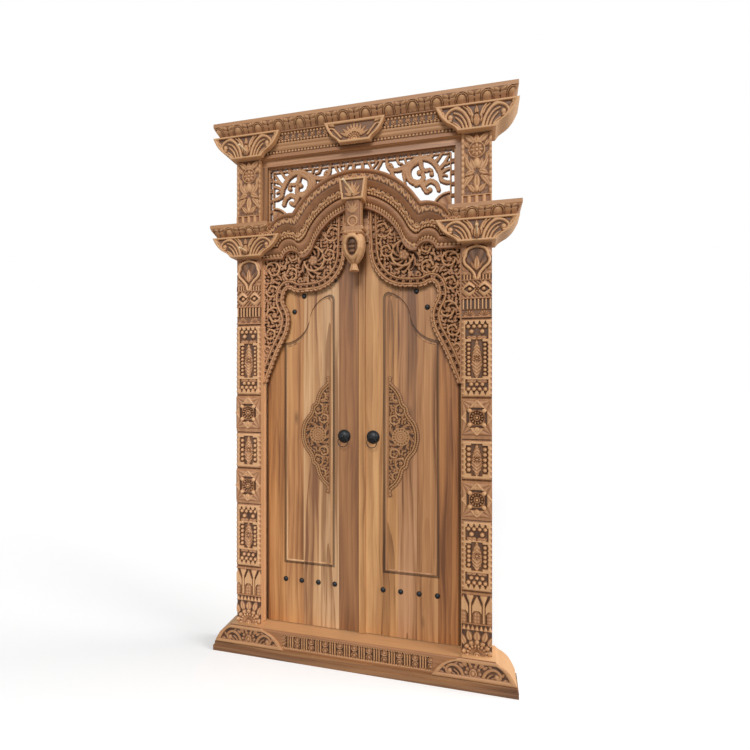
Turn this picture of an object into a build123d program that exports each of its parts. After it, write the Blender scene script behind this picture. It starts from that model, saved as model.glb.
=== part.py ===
from build123d import *
import math
import os

# Doorway and timber stock
opening_width = 1006.0
jamb_width = 134.0
frame_depth = 100.0

# Heights of the stacked pieces, from the floor up
plinth_height = 42.0
block_height = 98.0
jamb_height = 1869.0
mid_bracket_height = 104.0
mid_cornice_height = 65.0
upper_post_height = 333.0
upper_bracket_height = 119.0
crown_height = 70.0

# How far the front of each piece stands ahead of the jamb stock
base_projection = 30.0
bracket_projection = 34.0
cornice_projection = 39.0
upper_bracket_projection = 28.0
crown_projection = 33.0
flange_thickness = 26.0

# Base plinth
plinth_lip = 6.0
plinth_step_share = 0.62

# Base blocks
block_inner_reach = 138.0
block_outer_reach = 105.0
block_shoulder = 14.0
block_rim = 13.0
block_ogee_share = 0.2
block_sink = 6.5
bud_spread_share = 0.4
leaf_spread_share = 0.2
volute_foot_share = 0.06
volute_lift_share = 0.2
volute_reach_share = 0.22
volute_rise_share = 0.5
volute_radius_share = 0.2
corner_reach_share = 0.38
corner_rise_share = 0.22

# Sill beam and its colonnette frieze
sill_height = 93.0
sill_setback = 8.0
frieze_border = 12.0
frieze_depth = 7.0
colonnette_groups = 7
colonnettes_in_group = 3
colonnette_group_share = 0.5
colonnette_width_share = 0.55
scroll_lozenge_share = 0.34

# Carving on the jambs and posts
carving_depth = 11.0
ledge_inset = 4.0
bead_radius = 9.0
bead_height = 8.0
bead_column_share = 0.29
spindle_spread_share = 0.2
spindle_boss_share = 0.13
leaf_peak_share = 0.4
rosette_block_proud = 9.0
rosette_block_overhang = 5.0
rosette_relief = 7.0
rosette_petals = 6
rosette_dip_share = 0.72
rosette_button_share = 0.34
diamond_sink = 4.0
diamond_share = 0.92
rosette_radius_share = 0.36
flute_count = 4
flute_depth = 6.0
dentil_count = 5
dentil_gap_share = 0.45
arcade_bays = 3
eye_reach_share = 0.23
flare_reach_share = 0.44
lotus_petals = 5
bead_sides = 6
low_relief_share = 0.6
mid_relief_share = 0.7
high_relief_share = 0.85
leaf_waist_share = 0.6
lotus_reach_share = 0.4
lotus_heart_share = 0.24
lotus_root_share = 0.6
lotus_spread_share = 0.42
niche_width_share = 0.32
niche_spring_share = 0.3
niche_point_share = 0.5
column_width_share = 0.1
pupil_share = 0.09
lunette_gap_share = 0.11

# Upper posts
post_rim_share = 0.07
post_rosette_share = 0.76
post_rosette_radius_share = 0.3
crest_foot_share = 0.86
crest_spread_share = 0.9
calyx_share = 0.44
calyx_wing_shares = ((0.3, 0.64, 0.5), (0.34, 0.28, 0.36))
drop_share = 0.2
drop_spread_share = 0.45
post_foot_share = 0.15
flute_width_share = 0.5

# Jamb registers, as shares of the jamb's height from its foot
lotus_shares = (0.006, 0.061)
arcade_shares = (0.078, 0.146)
lower_panel_shares = (0.156, 0.325)
lower_rosette_shares = (0.339, 0.415)
middle_panel_shares = (0.427, 0.517)
upper_rosette_shares = (0.539, 0.615)
upper_panel_shares = (0.626, 0.812)
lunette_shares = (0.822, 0.837)
dentil_shares = (0.840, 0.864)
eye_shares = (0.868, 0.909)
palmette_shares = (0.914, 0.99)
palmette_edge_shares = (
    (0, 0), (0.12, 0.2), (0.36, 0.26), (0.45, 0.46), (0.34, 0.62), (0.3, 0.84), (0, 1),
)
bud_low_share = 0.2
bud_high_share = 0.8
ledge_shares = (0.148, 0.327, 0.417, 0.521, 0.617, 0.814, 0.910)
ledge_height_share = 0.0045

# Capitals under the cornices
bracket_inner_reach = 117.0
bracket_outer_reach = 118.0
bracket_foot_reach = 16.0
bracket_rim = 11.0
bracket_sink = 9.0
bracket_ogee_share = 0.13
centre_bracket_width = 300.0
centre_bracket_foot = 150.0
centre_bracket_height = 104.0
fan_leaves = 7
fan_start_share = 0.122
fan_foot_share = 0.22
fan_tip_share = 0.84
fan_spread_share = 0.3
fan_stretch_share = 1.55
fan_curl_share = 0.78
fan_curl_turn_share = 0.306

# Mid cornices
cornice_outer_reach = 128.0
cornice_inner_reach = 58.0
cornice_fillet_share = 0.26
cornice_slope = 24.0
shell_pitch = 112.0
shell_width_share = 0.26
shell_relief = 8.0
shell_peak_share = 0.7
shell_margin_share = 0.08

# Crown cornice
crown_reach = 113.0
crown_slope = 24.0

# Frieze beam under the crown
frieze_lip = 8.0
frieze_cove_shares = (0.2, 0.55)
frieze_cove_rise_share = 0.2

# Transom
transom_stile_width = 28.0
transom_rail_height = 35.0
transom_setback = 25.0
transom_frame_thickness = 55.0
fretwork_thickness = 14.0
slot_length = 56.0
slot_height = 9.0
slot_margin = 13.0
slot_pitch = 92.0
fan_disc_radius = 78.0
fan_disc_relief = 5.0
quarter_rise_share = 0.207
transom_scroll_shares = (
    (0.84, 0.68, 0.2), (0.6, 0.76, 0.17), (0.38, 0.83, 0.11), (0.18, 0.85, 0.095),
)

# Arch: places on its rim and inner edge are shares of half the doorway and of the rise
arch_depth = 60.0
arch_rise = 386.0
arch_rim_shares = ((0.0, 1.0), (0.5964, 0.5933), (0.6322, 0.5311), (0.6441, 0.5285), (0.8847, 0.3834))
arch_edge_shares = ((0.0, 0.56), (0.4414, 0.111), (0.5408, -0.031), (0.5845, -0.0285), (0.7654, -0.0285))
arch_rise_shares = ((0.125, 0.14), (0.0, -0.12), (0.0, 0.0), (0.13, 0.41), (0.0, 0.0))
arch_step_shares = (0.1, 0.42, 0.7)
arch_front_shares = (0.16, 0.44, 0.7)
arch_past_edge_share = 1.2

# Keystone and pendant
keystone_width = 130.0
keystone_foot = 104.0
keystone_height = 99.0
keystone_drop = 58.0
keystone_projection = 30.0
keystone_rim = 10.0
keystone_sink = 7.0
keystone_leaf_turn_shares = (0.28, 0.5, 0.72)
keystone_leaf_reach_share = 0.9
keystone_leaf_spread_share = 0.4
shank_width = 76.0
shank_length = 128.0
shank_gap = 3.0
collar_width = 108.0
collar_height = 17.0
collar_count = 2
collar_narrow_share = 0.86
bud_height = 170.0
bud_radius = 50.0
bud_sides = 8
bud_tier_shares = ((0.0, 0.72), (0.14, 0.95), (0.4, 1.0), (0.62, 0.8), (0.8, 0.3), (0.88, 0.28), (1.0, 0.4))

# Pierced spandrels
spandrel_thickness = 16.0
spandrel_gap = 14.0
spandrel_inner = 60.0
spandrel_drop = 637.0
spandrel_top_share = 0.6
spandrel_ridge = 5.0
spandrel_ridge_width = 18.0
spandrel_edge_shares = (
    (1.0, 0.0, 0.0), (0.91, 0.141, 0.06), (0.776, 0.32, -0.02), (0.761, 0.672, 0.152),
    (0.582, 0.732, -0.44), (0.025, 0.967, 0.213),
)
spandrel_scroll_shares = (
    (0.385, 0.975, 0.18), (0.15, 1.17, 0.09), (0.66, 0.92, 0.09), (0.875, 0.86, 0.1),
    (0.885, 0.6, 0.1), (0.9, 0.38, 0.08),
)
scroll_holes = 4
scroll_swirl_share = 0.072
scroll_inner_share = 0.3
scroll_waist_share = 0.62
scroll_spread_share = 0.8

# Leaves
leaf_setback = 60.0
leaf_thickness = 36.0
head_rail_height = 114.0
leaf_bottom_gap = 4.0
leaf_top_gap = 4.0
meeting_gap = 4.0
heel_gap = 3.0
pin_radius = 13.0
pin_length = 28.0
pin_sides = 12
pin_clearance = 0.4
pin_end_clearance = 0.3
plank_edge_shares = (0.0, 0.2, 0.39, 0.58, 0.78, 1.0)
panel_margin_inner = 122.0
panel_margin_outer = 103.0
panel_bottom = 305.0
panel_top_gap = 244.0
panel_shoulder_drop = 242.0
panel_groove_width = 12.0
panel_groove_depth = 4.0
panel_swing_shares = (0.1, 0.5, 0.54)
panel_rise_share = 0.16
panel_corner_rise_share = 0.2
ledge_thickness = 22.0
ledge_end_gap = 44.0
lower_ledge_height = 100.0
lower_ledge_centre = 222.0
upper_ledge_height = 240.0
upper_ledge_drop = 271.0
strip_width = 34.0
strip_thickness = 8.0

# Iron studs
stud_radius = 13.0
stud_height = 9.0
stud_peak_share = 0.55
stud_sides = 6
lower_stud_shares = (0.245, 0.42, 0.6, 0.775)
upper_stud_shares = ((0.245, 1.0), (0.42, 0.87), (0.575, 0.62), (0.68, 0.22))
upper_stud_range = 195.0

# Carved half medallions
medallion_inset = 148.0
medallion_width = 156.0
medallion_height = 588.0
medallion_lift = 5.0
medallion_thickness = 7.0
medallion_edge_shares = (
    (0.13, 0.9, 0.0), (0.52, 0.62, 0.2), (0.65, 0.4, 0.2), (0.65, -0.4, 0.23), (0.52, -0.62, 0.2),
    (0.13, -0.9, 0.2), (0.0, -1.0, 0.0), (0.0, 1.0, 0.0),
)
medallion_sink = 4.0
medallion_scroll_shares = ((0.46, 0.0, 0.4), (0.3, 0.5, 0.22), (0.3, -0.5, 0.22))

# Ring pulls
pull_inset = 71.0
pull_height = 966.0
boss_radius = 33.0
boss_height = 22.0
boss_sides = 9
boss_tier_shares = ((0.0, 1.0), (0.18, 1.0), (0.3, 0.88), (0.68, 0.68), (0.92, 0.4), (1.0, 0.28))
staple_width = 5.0
staple_reach = 7.0
staple_radius = 6.5
staple_sides = 8
ring_radius = 24.5
ring_wire = 2.0
ring_clearance = 0.7
ring_sides = 12
ring_wire_sides = 6

# Long assembly pegs left standing out of the front
peg_radius = 5.0
peg_sides = 8
peg_seat = 12.0
peg_clearance = 0.2
keystone_peg_length = 150.0
upper_peg_length = 70.0
left_peg_length = 60.0
right_peg_length = 130.0
peg_height_share = 0.3

# Working allowances; arcs are worked in short flats
facet_sag = 1.0
facet_limit_share = 0.12
bite = 1.0
overrun = 5.0

# Planes that the pieces share
jamb_inner = opening_width / 2
jamb_outer = jamb_inner + jamb_width
jamb_middle = (jamb_inner + jamb_outer) / 2
stock_front = -frame_depth / 2
stock_back = frame_depth / 2
block_top = plinth_height + block_height
sill_top = plinth_height + sill_height
jamb_top = block_top + jamb_height
bracket_top = jamb_top + mid_bracket_height
cornice_top = bracket_top + mid_cornice_height
post_top = cornice_top + upper_post_height
crown_bottom = post_top + upper_bracket_height
crown_top = crown_bottom + crown_height
base_front = stock_front - base_projection
bracket_front = stock_front - bracket_projection
upper_bracket_front = stock_front - upper_bracket_projection
leaf_front = stock_front + leaf_setback
leaf_back = leaf_front + leaf_thickness
spandrel_back = leaf_front - spandrel_gap
spandrel_front = spandrel_back - spandrel_thickness
arch_back = spandrel_front
arch_front = arch_back - arch_depth
leaf_bottom = sill_top + leaf_bottom_gap
head_bottom = cornice_top - head_rail_height
leaf_top = head_bottom - leaf_top_gap
lower_ledge_z = leaf_bottom + lower_ledge_centre
upper_ledge_z = leaf_top - upper_ledge_drop
pull_z = leaf_bottom + pull_height
heel_radius = leaf_thickness / 2
pivot_x = jamb_inner - heel_gap - heel_radius
pivot_y = leaf_front + heel_radius
leaf_edge = meeting_gap / 2
leaf_width = pivot_x + heel_radius - leaf_edge
keystone_front = arch_front - keystone_projection
keystone_top = jamb_top + arch_rise - keystone_drop
keystone_bottom = keystone_top - keystone_height

nodes = {}


def pair(name, right):
    """Keep a right-hand piece and its mirror image."""
    nodes["right_" + name] = right
    nodes["left_" + name] = mirror(right, about=Plane.YZ)


def slab(x0, x1, y0, y1, z0, z1):
    """Box between six planes."""
    middle = Pos((x0 + x1) / 2, (y0 + y1) / 2, (z0 + z1) / 2)
    return middle * Box(x1 - x0, y1 - y0, z1 - z0)


def flat_face(points):
    """Flat face through points in space."""
    return Face(Wire.make_polygon([Vector(*point) for point in points], close=True))


def stack(loops):
    """Flat-sided solid through loops of points, one over the other."""
    faces = [flat_face(loops[0]), flat_face(loops[-1])]
    for lower, upper in zip(loops, loops[1:]):
        for i in range(len(lower)):
            faces.append(flat_face([lower[i - 1], lower[i], upper[i], upper[i - 1]]))
    return Solid(Shell(faces))


def hoop(loops):
    """Flat-sided ring through loops of points, the last joined to the first."""
    faces = []
    for lower, upper in zip(loops, loops[1:] + loops[:1]):
        for i in range(len(lower)):
            faces.append(flat_face([lower[i - 1], lower[i], upper[i], upper[i - 1]]))
    return Solid(Shell(faces))


def raised(points, ground, relief, peak_share=1):
    """Carved form standing off a ground, its top drawn in to a share of its foot."""
    middle = [sum(values) / len(points) for values in zip(*points)]
    foot = [(x, ground + bite, z) for x, z in points]
    peak = [lerp(middle, point, peak_share) for point in points]
    return stack([foot, [(x, ground - relief, z) for x, z in peak]])


def board(points, back, front):
    """Straight-sided board or hole between two depths, from a front-view outline."""
    return stack([[(x, back, z) for x, z in points], [(x, front, z) for x, z in points]])


def lerp(a, b, share):
    """Point at a share of the way from a to b."""
    return (a[0] + (b[0] - a[0]) * share, a[1] + (b[1] - a[1]) * share)


def beside(a, b, share):
    """Point off the middle of a chord, to its left, by a share of its length."""
    middle = lerp(a, b, 1 / 2)
    return (middle[0] - (b[1] - a[1]) * share, middle[1] + (b[0] - a[0]) * share)


def polar(centre, radius, degrees):
    """Point at a radius and an angle from a centre."""
    turn = math.radians(degrees)
    return (centre[0] + radius * math.cos(turn), centre[1] + radius * math.sin(turn))


def along_arc(a, b, rise_share):
    """Points after a up to b on an arc, as short flats that leave the arc by no more than the facet sag."""
    if not rise_share:
        return [b]
    chord = math.dist(a, b)
    radius = chord * (abs(rise_share) / 2 + 1 / (8 * abs(rise_share)))
    sweep = 4 * math.atan(2 * rise_share)
    flats = math.ceil(abs(sweep) / (2 * math.acos(1 - min(facet_sag / radius, facet_limit_share))))
    centre = beside(a, b, rise_share - math.copysign(radius / chord, rise_share))
    start = math.degrees(math.atan2(a[1] - centre[1], a[0] - centre[0]))
    turn = -math.degrees(sweep) / flats
    return [polar(centre, radius, start + turn * i) for i in range(1, flats)] + [b]


def outline(start, *steps):
    """Loop of points through steps, each an end point and its arc's rise as a share of the chord."""
    points = [start]
    for end, rise_share in steps:
        points += along_arc(points[-1], end, rise_share)
    if math.dist(points[-1], start) < bite:
        points.pop()
    return points


def ogee(a, b, rise_share):
    """Steps of an S curve from a to b: first full to the left, then hollow."""
    return (lerp(a, b, 1 / 2), rise_share), (b, -rise_share)


def kite(foot, tip, spread_share, waist_share=1 / 2):
    """Slim four-sided leaf from foot to tip."""
    waist = lerp(foot, tip, waist_share)
    across = ((tip[1] - foot[1]) * spread_share / 2, (foot[0] - tip[0]) * spread_share / 2)
    left = (waist[0] - across[0], waist[1] - across[1])
    right = (waist[0] + across[0], waist[1] + across[1])
    return [foot, left, tip, right]


def ball(centre, radius, sides=bead_sides):
    """Flat-sided disc, the ground plan of a bead or volute."""
    return [polar(centre, radius, 360 * i / sides) for i in range(sides)]


def oblong(centre, width, height):
    """Upright rectangle about a centre."""
    x, z = centre
    return [(x + a * width / 2, z + b * height / 2) for a, b in ((-1, -1), (1, -1), (1, 1), (-1, 1))]


def star(centre, radius, petals):
    """Rosette outline with a point for each petal."""
    step = 180 / petals
    reach = (radius, radius * rosette_dip_share)
    return [polar(centre, reach[i % 2], step * i) for i in range(2 * petals)]


def rosette(centre, radius, ground, relief):
    """Petalled disc with a button."""
    disc = raised(star(centre, radius, rosette_petals), ground, relief, leaf_peak_share)
    button = ball(centre, radius * rosette_button_share)
    return [disc, raised(button, ground - relief, relief / 2, leaf_peak_share)]


def pinwheel(centre, radius, number):
    """Ring of swept leaf-shaped holes round a scroll centre, turned on from one scroll to the next."""
    holes = []
    for i in range(scroll_holes):
        turn_share = i / scroll_holes + scroll_swirl_share * number
        foot = polar(centre, radius * scroll_inner_share, 360 * turn_share)
        tip = polar(centre, radius, 360 * (turn_share + scroll_swirl_share))
        holes.append(kite(foot, tip, scroll_spread_share, scroll_waist_share))
    return holes


def base_plinth():
    """Plain board with a stepped front under the whole frame."""
    half = jamb_outer + block_outer_reach + plinth_lip
    step = plinth_height * plinth_step_share
    lower = slab(-half, half, base_front - plinth_lip, stock_back, 0, step)
    half -= plinth_lip
    return lower + slab(-half, half, base_front, stock_back, step, plinth_height)


def block_corners(inset):
    """Foot and shoulder points of a base block, drawn in by a rim."""
    low = plinth_height + inset
    high = block_top - inset
    inner_low = (jamb_inner - block_inner_reach + inset, low)
    inner_high = (jamb_inner - block_shoulder + inset, high)
    outer_high = (jamb_outer + block_shoulder - inset, high)
    outer_low = (jamb_outer + block_outer_reach - inset, low)
    return inner_low, inner_high, outer_high, outer_low


def bud_and_volutes(middle, low, width, height, ground, relief):
    """Central bud with two curled leaves and their volutes."""
    bud = kite((middle, low), (middle, low + height), bud_spread_share)
    forms = [raised(bud, ground, relief, leaf_peak_share)]
    for side in (-1, 1):
        foot = (middle + side * width * volute_foot_share, low + height * volute_lift_share)
        curl = (middle + side * width * volute_reach_share, low + height * volute_rise_share)
        corner = (middle + side * width * corner_reach_share, low + height * corner_rise_share)
        forms.append(raised(ball(curl, height * volute_radius_share), ground, relief, leaf_peak_share))
        for tip in (curl, corner):
            forms.append(raised(kite(foot, tip, leaf_spread_share), ground, relief, leaf_peak_share))
    return forms


def base_block():
    """Carved block under a jamb, with a flange that laps the end of the sill."""
    a, b, c, d = block_corners(0)
    ends = (*ogee(a, b, block_ogee_share), (c, 0), *ogee(c, d, -block_ogee_share), (a, 0))
    body = board(outline(a, *ends), stock_back, base_front)
    body -= slab(0, jamb_inner, base_front + sill_setback, stock_back + overrun, 0, block_top + overrun)
    a, b, c, d = block_corners(block_rim)
    ground = base_front + block_sink
    body -= board([a, b, c, d], ground, base_front - overrun)
    width, height = d[0] - a[0], b[1] - a[1]
    return body + bud_and_volutes(a[0] + width / 2, a[1], width, height, ground, block_sink)


def pin_column(radius, z0, z1):
    """Flat-sided round column on the pivot line, its flats at the radius."""
    loop = ball((pivot_x, pivot_y), radius / math.cos(math.pi / pin_sides), pin_sides)
    return stack([[(x, y, z) for x, y in loop] for z in (z0, z1)])


def pivot_hole(z0, z1):
    """Socket for a pivot pin, clear of its corners."""
    return pin_column(pin_radius / math.cos(math.pi / pin_sides) + pin_clearance, z0, z1)


def sill_beam():
    """Threshold with colonnettes carved on its front and sockets for the leaves."""
    front = base_front + sill_setback
    beam = slab(-jamb_inner, jamb_inner, front, stock_back, plinth_height, sill_top)
    socket = pivot_hole(leaf_bottom - pin_length - pin_end_clearance, sill_top + overrun)
    beam -= socket
    beam -= mirror(socket, about=Plane.YZ)
    reach = jamb_inner - block_inner_reach
    low = plinth_height + frieze_border
    high = sill_top - frieze_border
    ground = front + frieze_depth
    beam -= slab(-reach, reach, front - overrun, ground, low, high)
    pitch = 2 * reach / colonnette_groups
    spacing = pitch * colonnette_group_share / colonnettes_in_group
    half = spacing * colonnette_width_share / 2
    forms = []
    for group in range(colonnette_groups):
        middle = pitch * (group + 1 / 2) - reach
        for i in range(colonnettes_in_group):
            x = middle + spacing * (i - (colonnettes_in_group - 1) / 2)
            forms.append(slab(x - half, x + half, front, ground + bite, low - bite, high + bite))
    for gap in range(1, colonnette_groups):
        centre = (pitch * gap - reach, (low + high) / 2)
        lozenge = ball(centre, (high - low) * scroll_lozenge_share, 4)
        forms.append(raised(lozenge, ground, frieze_depth, leaf_peak_share))
    return beam + forms


def level(share):
    """Height of a jamb register's edge."""
    return block_top + jamb_height * share


def bead_panel(shares, ground):
    """Two fillets for bead columns, with a spindle leaf and a boss between them."""
    low, high = level(shares[0]), level(shares[1])
    forms = []
    for side in (-1, 1):
        x = jamb_middle + side * jamb_width * bead_column_share
        forms.append(slab(x - bead_radius, x + bead_radius, ground - bead_height, ground + bite, low, high))
    leaf = kite((jamb_middle, low), (jamb_middle, high), spindle_spread_share)
    forms.append(raised(leaf, ground, bead_height, leaf_peak_share))
    boss = ball((jamb_middle, (low + high) / 2), jamb_width * spindle_boss_share)
    forms.append(raised(boss, ground, carving_depth, leaf_peak_share))
    return forms


def rosette_block(shares):
    """Proud square block with a sunk diamond and a rosette."""
    low, high = level(shares[0]), level(shares[1])
    front = stock_front - rosette_block_proud
    x0, x1 = jamb_inner, jamb_outer + rosette_block_overhang
    centre = ((x0 + x1) / 2, (low + high) / 2)
    block = slab(x0, x1, front, stock_front + carving_depth + bite, low, high)
    diamond = ball(centre, (x1 - x0) / 2 * diamond_share, 4)
    block -= board(diamond, front + diamond_sink, front - overrun)
    radius = (high - low) * rosette_radius_share * diamond_share
    return [block] + rosette(centre, radius, front + diamond_sink, rosette_relief)


def lotus(shares, ground):
    """Half flower: fan of petals over a half disc at the foot."""
    low, high = level(shares[0]), level(shares[1])
    root = (jamb_middle, low)
    reach = jamb_width * lotus_reach_share
    heart = jamb_width * lotus_heart_share
    forms = []
    for i in range(lotus_petals):
        angle = 180 * (i + 1 / 2) / lotus_petals
        tall = reach + (high - low - reach) * math.sin(math.radians(angle))
        foot = polar(root, heart * lotus_root_share, angle)
        petal = kite(foot, polar(root, tall, angle), lotus_spread_share, leaf_waist_share)
        forms.append(raised(petal, ground, carving_depth * low_relief_share, leaf_peak_share))
    disc = [polar(root, heart, 180 * i / lotus_petals) for i in range(lotus_petals + 1)]
    forms.append(raised(disc, ground, carving_depth * high_relief_share, leaf_peak_share))
    return forms


def arcade(shares, ground):
    """Row of pointed niches between slim posts."""
    low, high = level(shares[0]), level(shares[1])
    bay = jamb_width / arcade_bays
    half = bay * niche_width_share
    slim = bay * column_width_share
    spring = low + (high - low) * niche_spring_share
    point = low + (high - low) * niche_point_share
    forms = []
    for i in range(arcade_bays):
        x = jamb_inner + bay * (i + 1 / 2)
        niche = [(x - half, low), (x - half, spring), (x, point), (x + half, spring), (x + half, low)]
        forms.append(raised(niche, ground, carving_depth * low_relief_share))
    for i in range(arcade_bays - 1):
        x = jamb_inner + bay * (i + 1)
        flare = [(x - slim, low), (x - slim, high - bay), (x - bay * flare_reach_share, high)]
        flare += [(2 * x - a, b) for a, b in reversed(flare)]
        forms.append(raised(flare, ground, carving_depth * high_relief_share))
    return forms


def palmette(shares, ground):
    """Lobed leaf rising from a stem, with a bud in its heart."""
    low, high = level(shares[0]), level(shares[1])
    tall = high - low
    half = [(jamb_middle + jamb_width * u, low + tall * v) for u, v in palmette_edge_shares]
    points = half + [(2 * jamb_middle - x, z) for x, z in reversed(half[1:-1])]
    foot = lerp(half[0], half[-1], bud_low_share)
    bud = kite(foot, lerp(half[0], half[-1], bud_high_share), bud_spread_share)
    relief = carving_depth * low_relief_share
    leaf = raised(points, ground, relief)
    return [leaf, raised(bud, ground - relief, carving_depth - relief, leaf_peak_share)]


def eyes(shares, ground):
    """Two lozenges side by side, each with a boss in its middle."""
    low, high = level(shares[0]), level(shares[1])
    z = (low + high) / 2
    forms = []
    for side in (-1, 1):
        x = jamb_middle + side * jamb_width / 4
        reach = jamb_width * eye_reach_share
        lozenge = [(x - reach, z), (x, high), (x + reach, z), (x, low)]
        forms.append(raised(lozenge, ground, carving_depth * mid_relief_share, leaf_peak_share))
        pupil = ball((x, z), jamb_width * pupil_share, 4)
        forms.append(raised(pupil, ground, carving_depth, leaf_peak_share))
    return forms


def teeth(shares, ground, count, gap_share):
    """Row of upright teeth across the jamb."""
    low, high = level(shares[0]), level(shares[1])
    pitch = jamb_width / count
    half = pitch * (1 - gap_share) / 2
    front = ground - carving_depth * high_relief_share
    forms = []
    for i in range(count):
        x = jamb_inner + pitch * (i + 1 / 2)
        forms.append(slab(x - half, x + half, front, ground + bite, low, high))
    return forms


def jamb():
    """Carved post: plain stock with ledges, bead panels, rosette blocks and flowers on its face."""
    ground = stock_front + carving_depth
    post = slab(jamb_inner, jamb_outer, ground, stock_back, block_top, jamb_top)
    thin = jamb_height * ledge_height_share
    front = stock_front + ledge_inset
    forms = []
    for share in ledge_shares:
        z = level(share)
        forms.append(slab(jamb_inner, jamb_outer, front, ground + bite, z - thin, z + thin))
    forms += lotus(lotus_shares, ground)
    forms += arcade(arcade_shares, ground)
    for shares in (lower_panel_shares, middle_panel_shares, upper_panel_shares):
        forms += bead_panel(shares, ground)
    for shares in (lower_rosette_shares, upper_rosette_shares):
        forms += rosette_block(shares)
    forms += teeth(lunette_shares, ground, arcade_bays, lunette_gap_share)
    forms += teeth(dentil_shares, ground, dentil_count, dentil_gap_share)
    forms += eyes(eye_shares, ground)
    forms += palmette(palmette_shares, ground)
    return post + forms


def bracket_corners(foot, top, low, high, inset):
    """Foot and top points of a capital's face, drawn in by a rim."""
    (foot_in, foot_out), (top_in, top_out) = foot, top
    low += inset
    high -= inset
    inner = ((foot_in + inset, low), (top_in + inset, high))
    return *inner, (top_out - inset, high), (foot_out - inset, low)


def capital(foot, top, low, high, front, back, spread_share):
    """Ogee-sided capital wider at the top, with a sunk face of fanned leaves round a bud."""
    a, b, c, d = bracket_corners(foot, top, low, high, 0)
    sides = (*ogee(a, b, -bracket_ogee_share), (c, 0), *ogee(c, d, bracket_ogee_share), (a, 0))
    body = board(outline(a, *sides), back, front)
    ground = front + bracket_sink
    a, b, c, d = bracket_corners(foot, top, low, high, bracket_rim)
    body -= board([a, b, c, d], ground, front - overrun)
    root = ((a[0] + d[0]) / 2, low + bracket_rim)
    reach = high - low - 2 * bracket_rim
    forms = []
    for i in range(fan_leaves):
        angle = 180 * (fan_start_share + (1 - 2 * fan_start_share) * i / (fan_leaves - 1))
        stretch = 1 + (spread_share - 1) * abs(math.cos(math.radians(angle)))
        foot_point = polar(root, reach * fan_foot_share * stretch, angle)
        tip = polar(root, reach * fan_tip_share * stretch, angle)
        leaf = kite(foot_point, tip, fan_spread_share)
        forms.append(raised(leaf, ground, bracket_sink, leaf_peak_share))
    for side in (-1, 1):
        turn = 90 - side * 180 * fan_curl_turn_share
        curl = ball(polar(root, reach * fan_curl_share * spread_share, turn), reach * volute_radius_share)
        forms.append(raised(curl, ground, bracket_sink, leaf_peak_share))
    return body + forms


def jamb_capital(low, high, front):
    """Capital over a jamb; its inner end is a flange in front of the beam."""
    foot = (jamb_inner - bracket_foot_reach, jamb_outer + bracket_foot_reach)
    top = (jamb_inner - bracket_inner_reach, jamb_outer + bracket_outer_reach)
    body = capital(foot, top, low, high, front, stock_back, fan_stretch_share)
    lap = front + flange_thickness
    return body - slab(0, jamb_inner, lap, stock_back + overrun, low - overrun, high + overrun)


def sloped_moulding(x0, x1, y0, y1, z0, z1, slope, inner_slope):
    """Moulding that flares outwards and forwards from a lower to an upper edge."""
    upper = [(x0, y0, z1), (x1, y0, z1), (x1, y1, z1), (x0, y1, z1)]
    x0 += inner_slope
    x1 -= slope
    y0 += slope
    lower = [(x0, y0, z0), (x1, y0, z0), (x1, y1, z0), (x0, y1, z0)]
    return stack([lower, upper])


def shells(x0, x1, front, z0, z1, slope):
    """Row of shell bosses standing off a flaring face."""
    count = round((x1 - x0) / shell_pitch)
    pitch = (x1 - x0) / count
    middle = (z0 + z1) / 2
    margin = (z1 - z0) * shell_margin_share
    low, high = z0 + margin, z1 - margin
    half = pitch * shell_width_share
    ground = front + slope / 2
    forms = []
    for i in range(count):
        x = x0 + pitch * (i + 1 / 2)
        hood = [(x - half, low), (x - half, middle), (x - half / 2, high)]
        hood += [(2 * x - a, b) for a, b in reversed(hood)]
        forms.append(raised(hood, ground + slope, slope + shell_relief, shell_peak_share))
    return forms


def mid_cornice():
    """Shell-carved cornice over a capital; its inner end laps the foot of the arch."""
    front = stock_front - cornice_projection
    x0 = jamb_inner - cornice_inner_reach
    x1 = jamb_outer + cornice_outer_reach
    split = cornice_top - mid_cornice_height * cornice_fillet_share
    body = sloped_moulding(x0, x1, front, stock_back, bracket_top, split, cornice_slope, 0)
    body += slab(x0, x1, front, stock_back, split, cornice_top)
    body += shells(x0, x1 - cornice_slope / 2, front, bracket_top, split, cornice_slope)
    low, high = bracket_top - overrun, cornice_top + overrun
    return body - slab(0, jamb_inner, spandrel_front, stock_back + overrun, low, high)


def crown_cornice():
    """Shell-carved crown across the whole width."""
    front = stock_front - crown_projection
    half = jamb_outer + crown_reach
    split = crown_top - crown_height * cornice_fillet_share
    body = sloped_moulding(-half, half, front, stock_back, crown_bottom, split, crown_slope, crown_slope)
    body += slab(-half, half, front, stock_back, split, crown_top)
    return body + shells(crown_slope - half, half - crown_slope, front, crown_bottom, split, crown_slope)


def head_rail():
    """Plain rail over the leaves, with sockets for their upper pins."""
    rail = slab(-jamb_inner, jamb_inner, spandrel_back, stock_back, head_bottom, cornice_top)
    socket = pivot_hole(head_bottom - overrun, leaf_top + pin_length + pin_end_clearance)
    rail -= socket
    return rail - mirror(socket, about=Plane.YZ)


def arch_path(share):
    """Crown and steps of the half arch, at a share of the way from its rim to its inner edge."""
    places = [lerp(a, b, share) for a, b in zip(arch_rim_shares, arch_edge_shares)]
    points = [(jamb_inner * u, jamb_top + arch_rise * v) for u, v in places]
    points.append((jamb_inner, points[-1][1]))
    rises = [a + (b - a) * share for a, b in arch_rise_shares]
    return points[0], list(zip(points[1:], rises))


def back_along(start, steps):
    """The same steps walked the other way, from their end."""
    points = [start] + [end for end, rise in steps]
    rises = [-rise for end, rise in steps]
    return [(points[-1], 0)] + list(zip(points[-2::-1], rises[::-1]))


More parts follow.
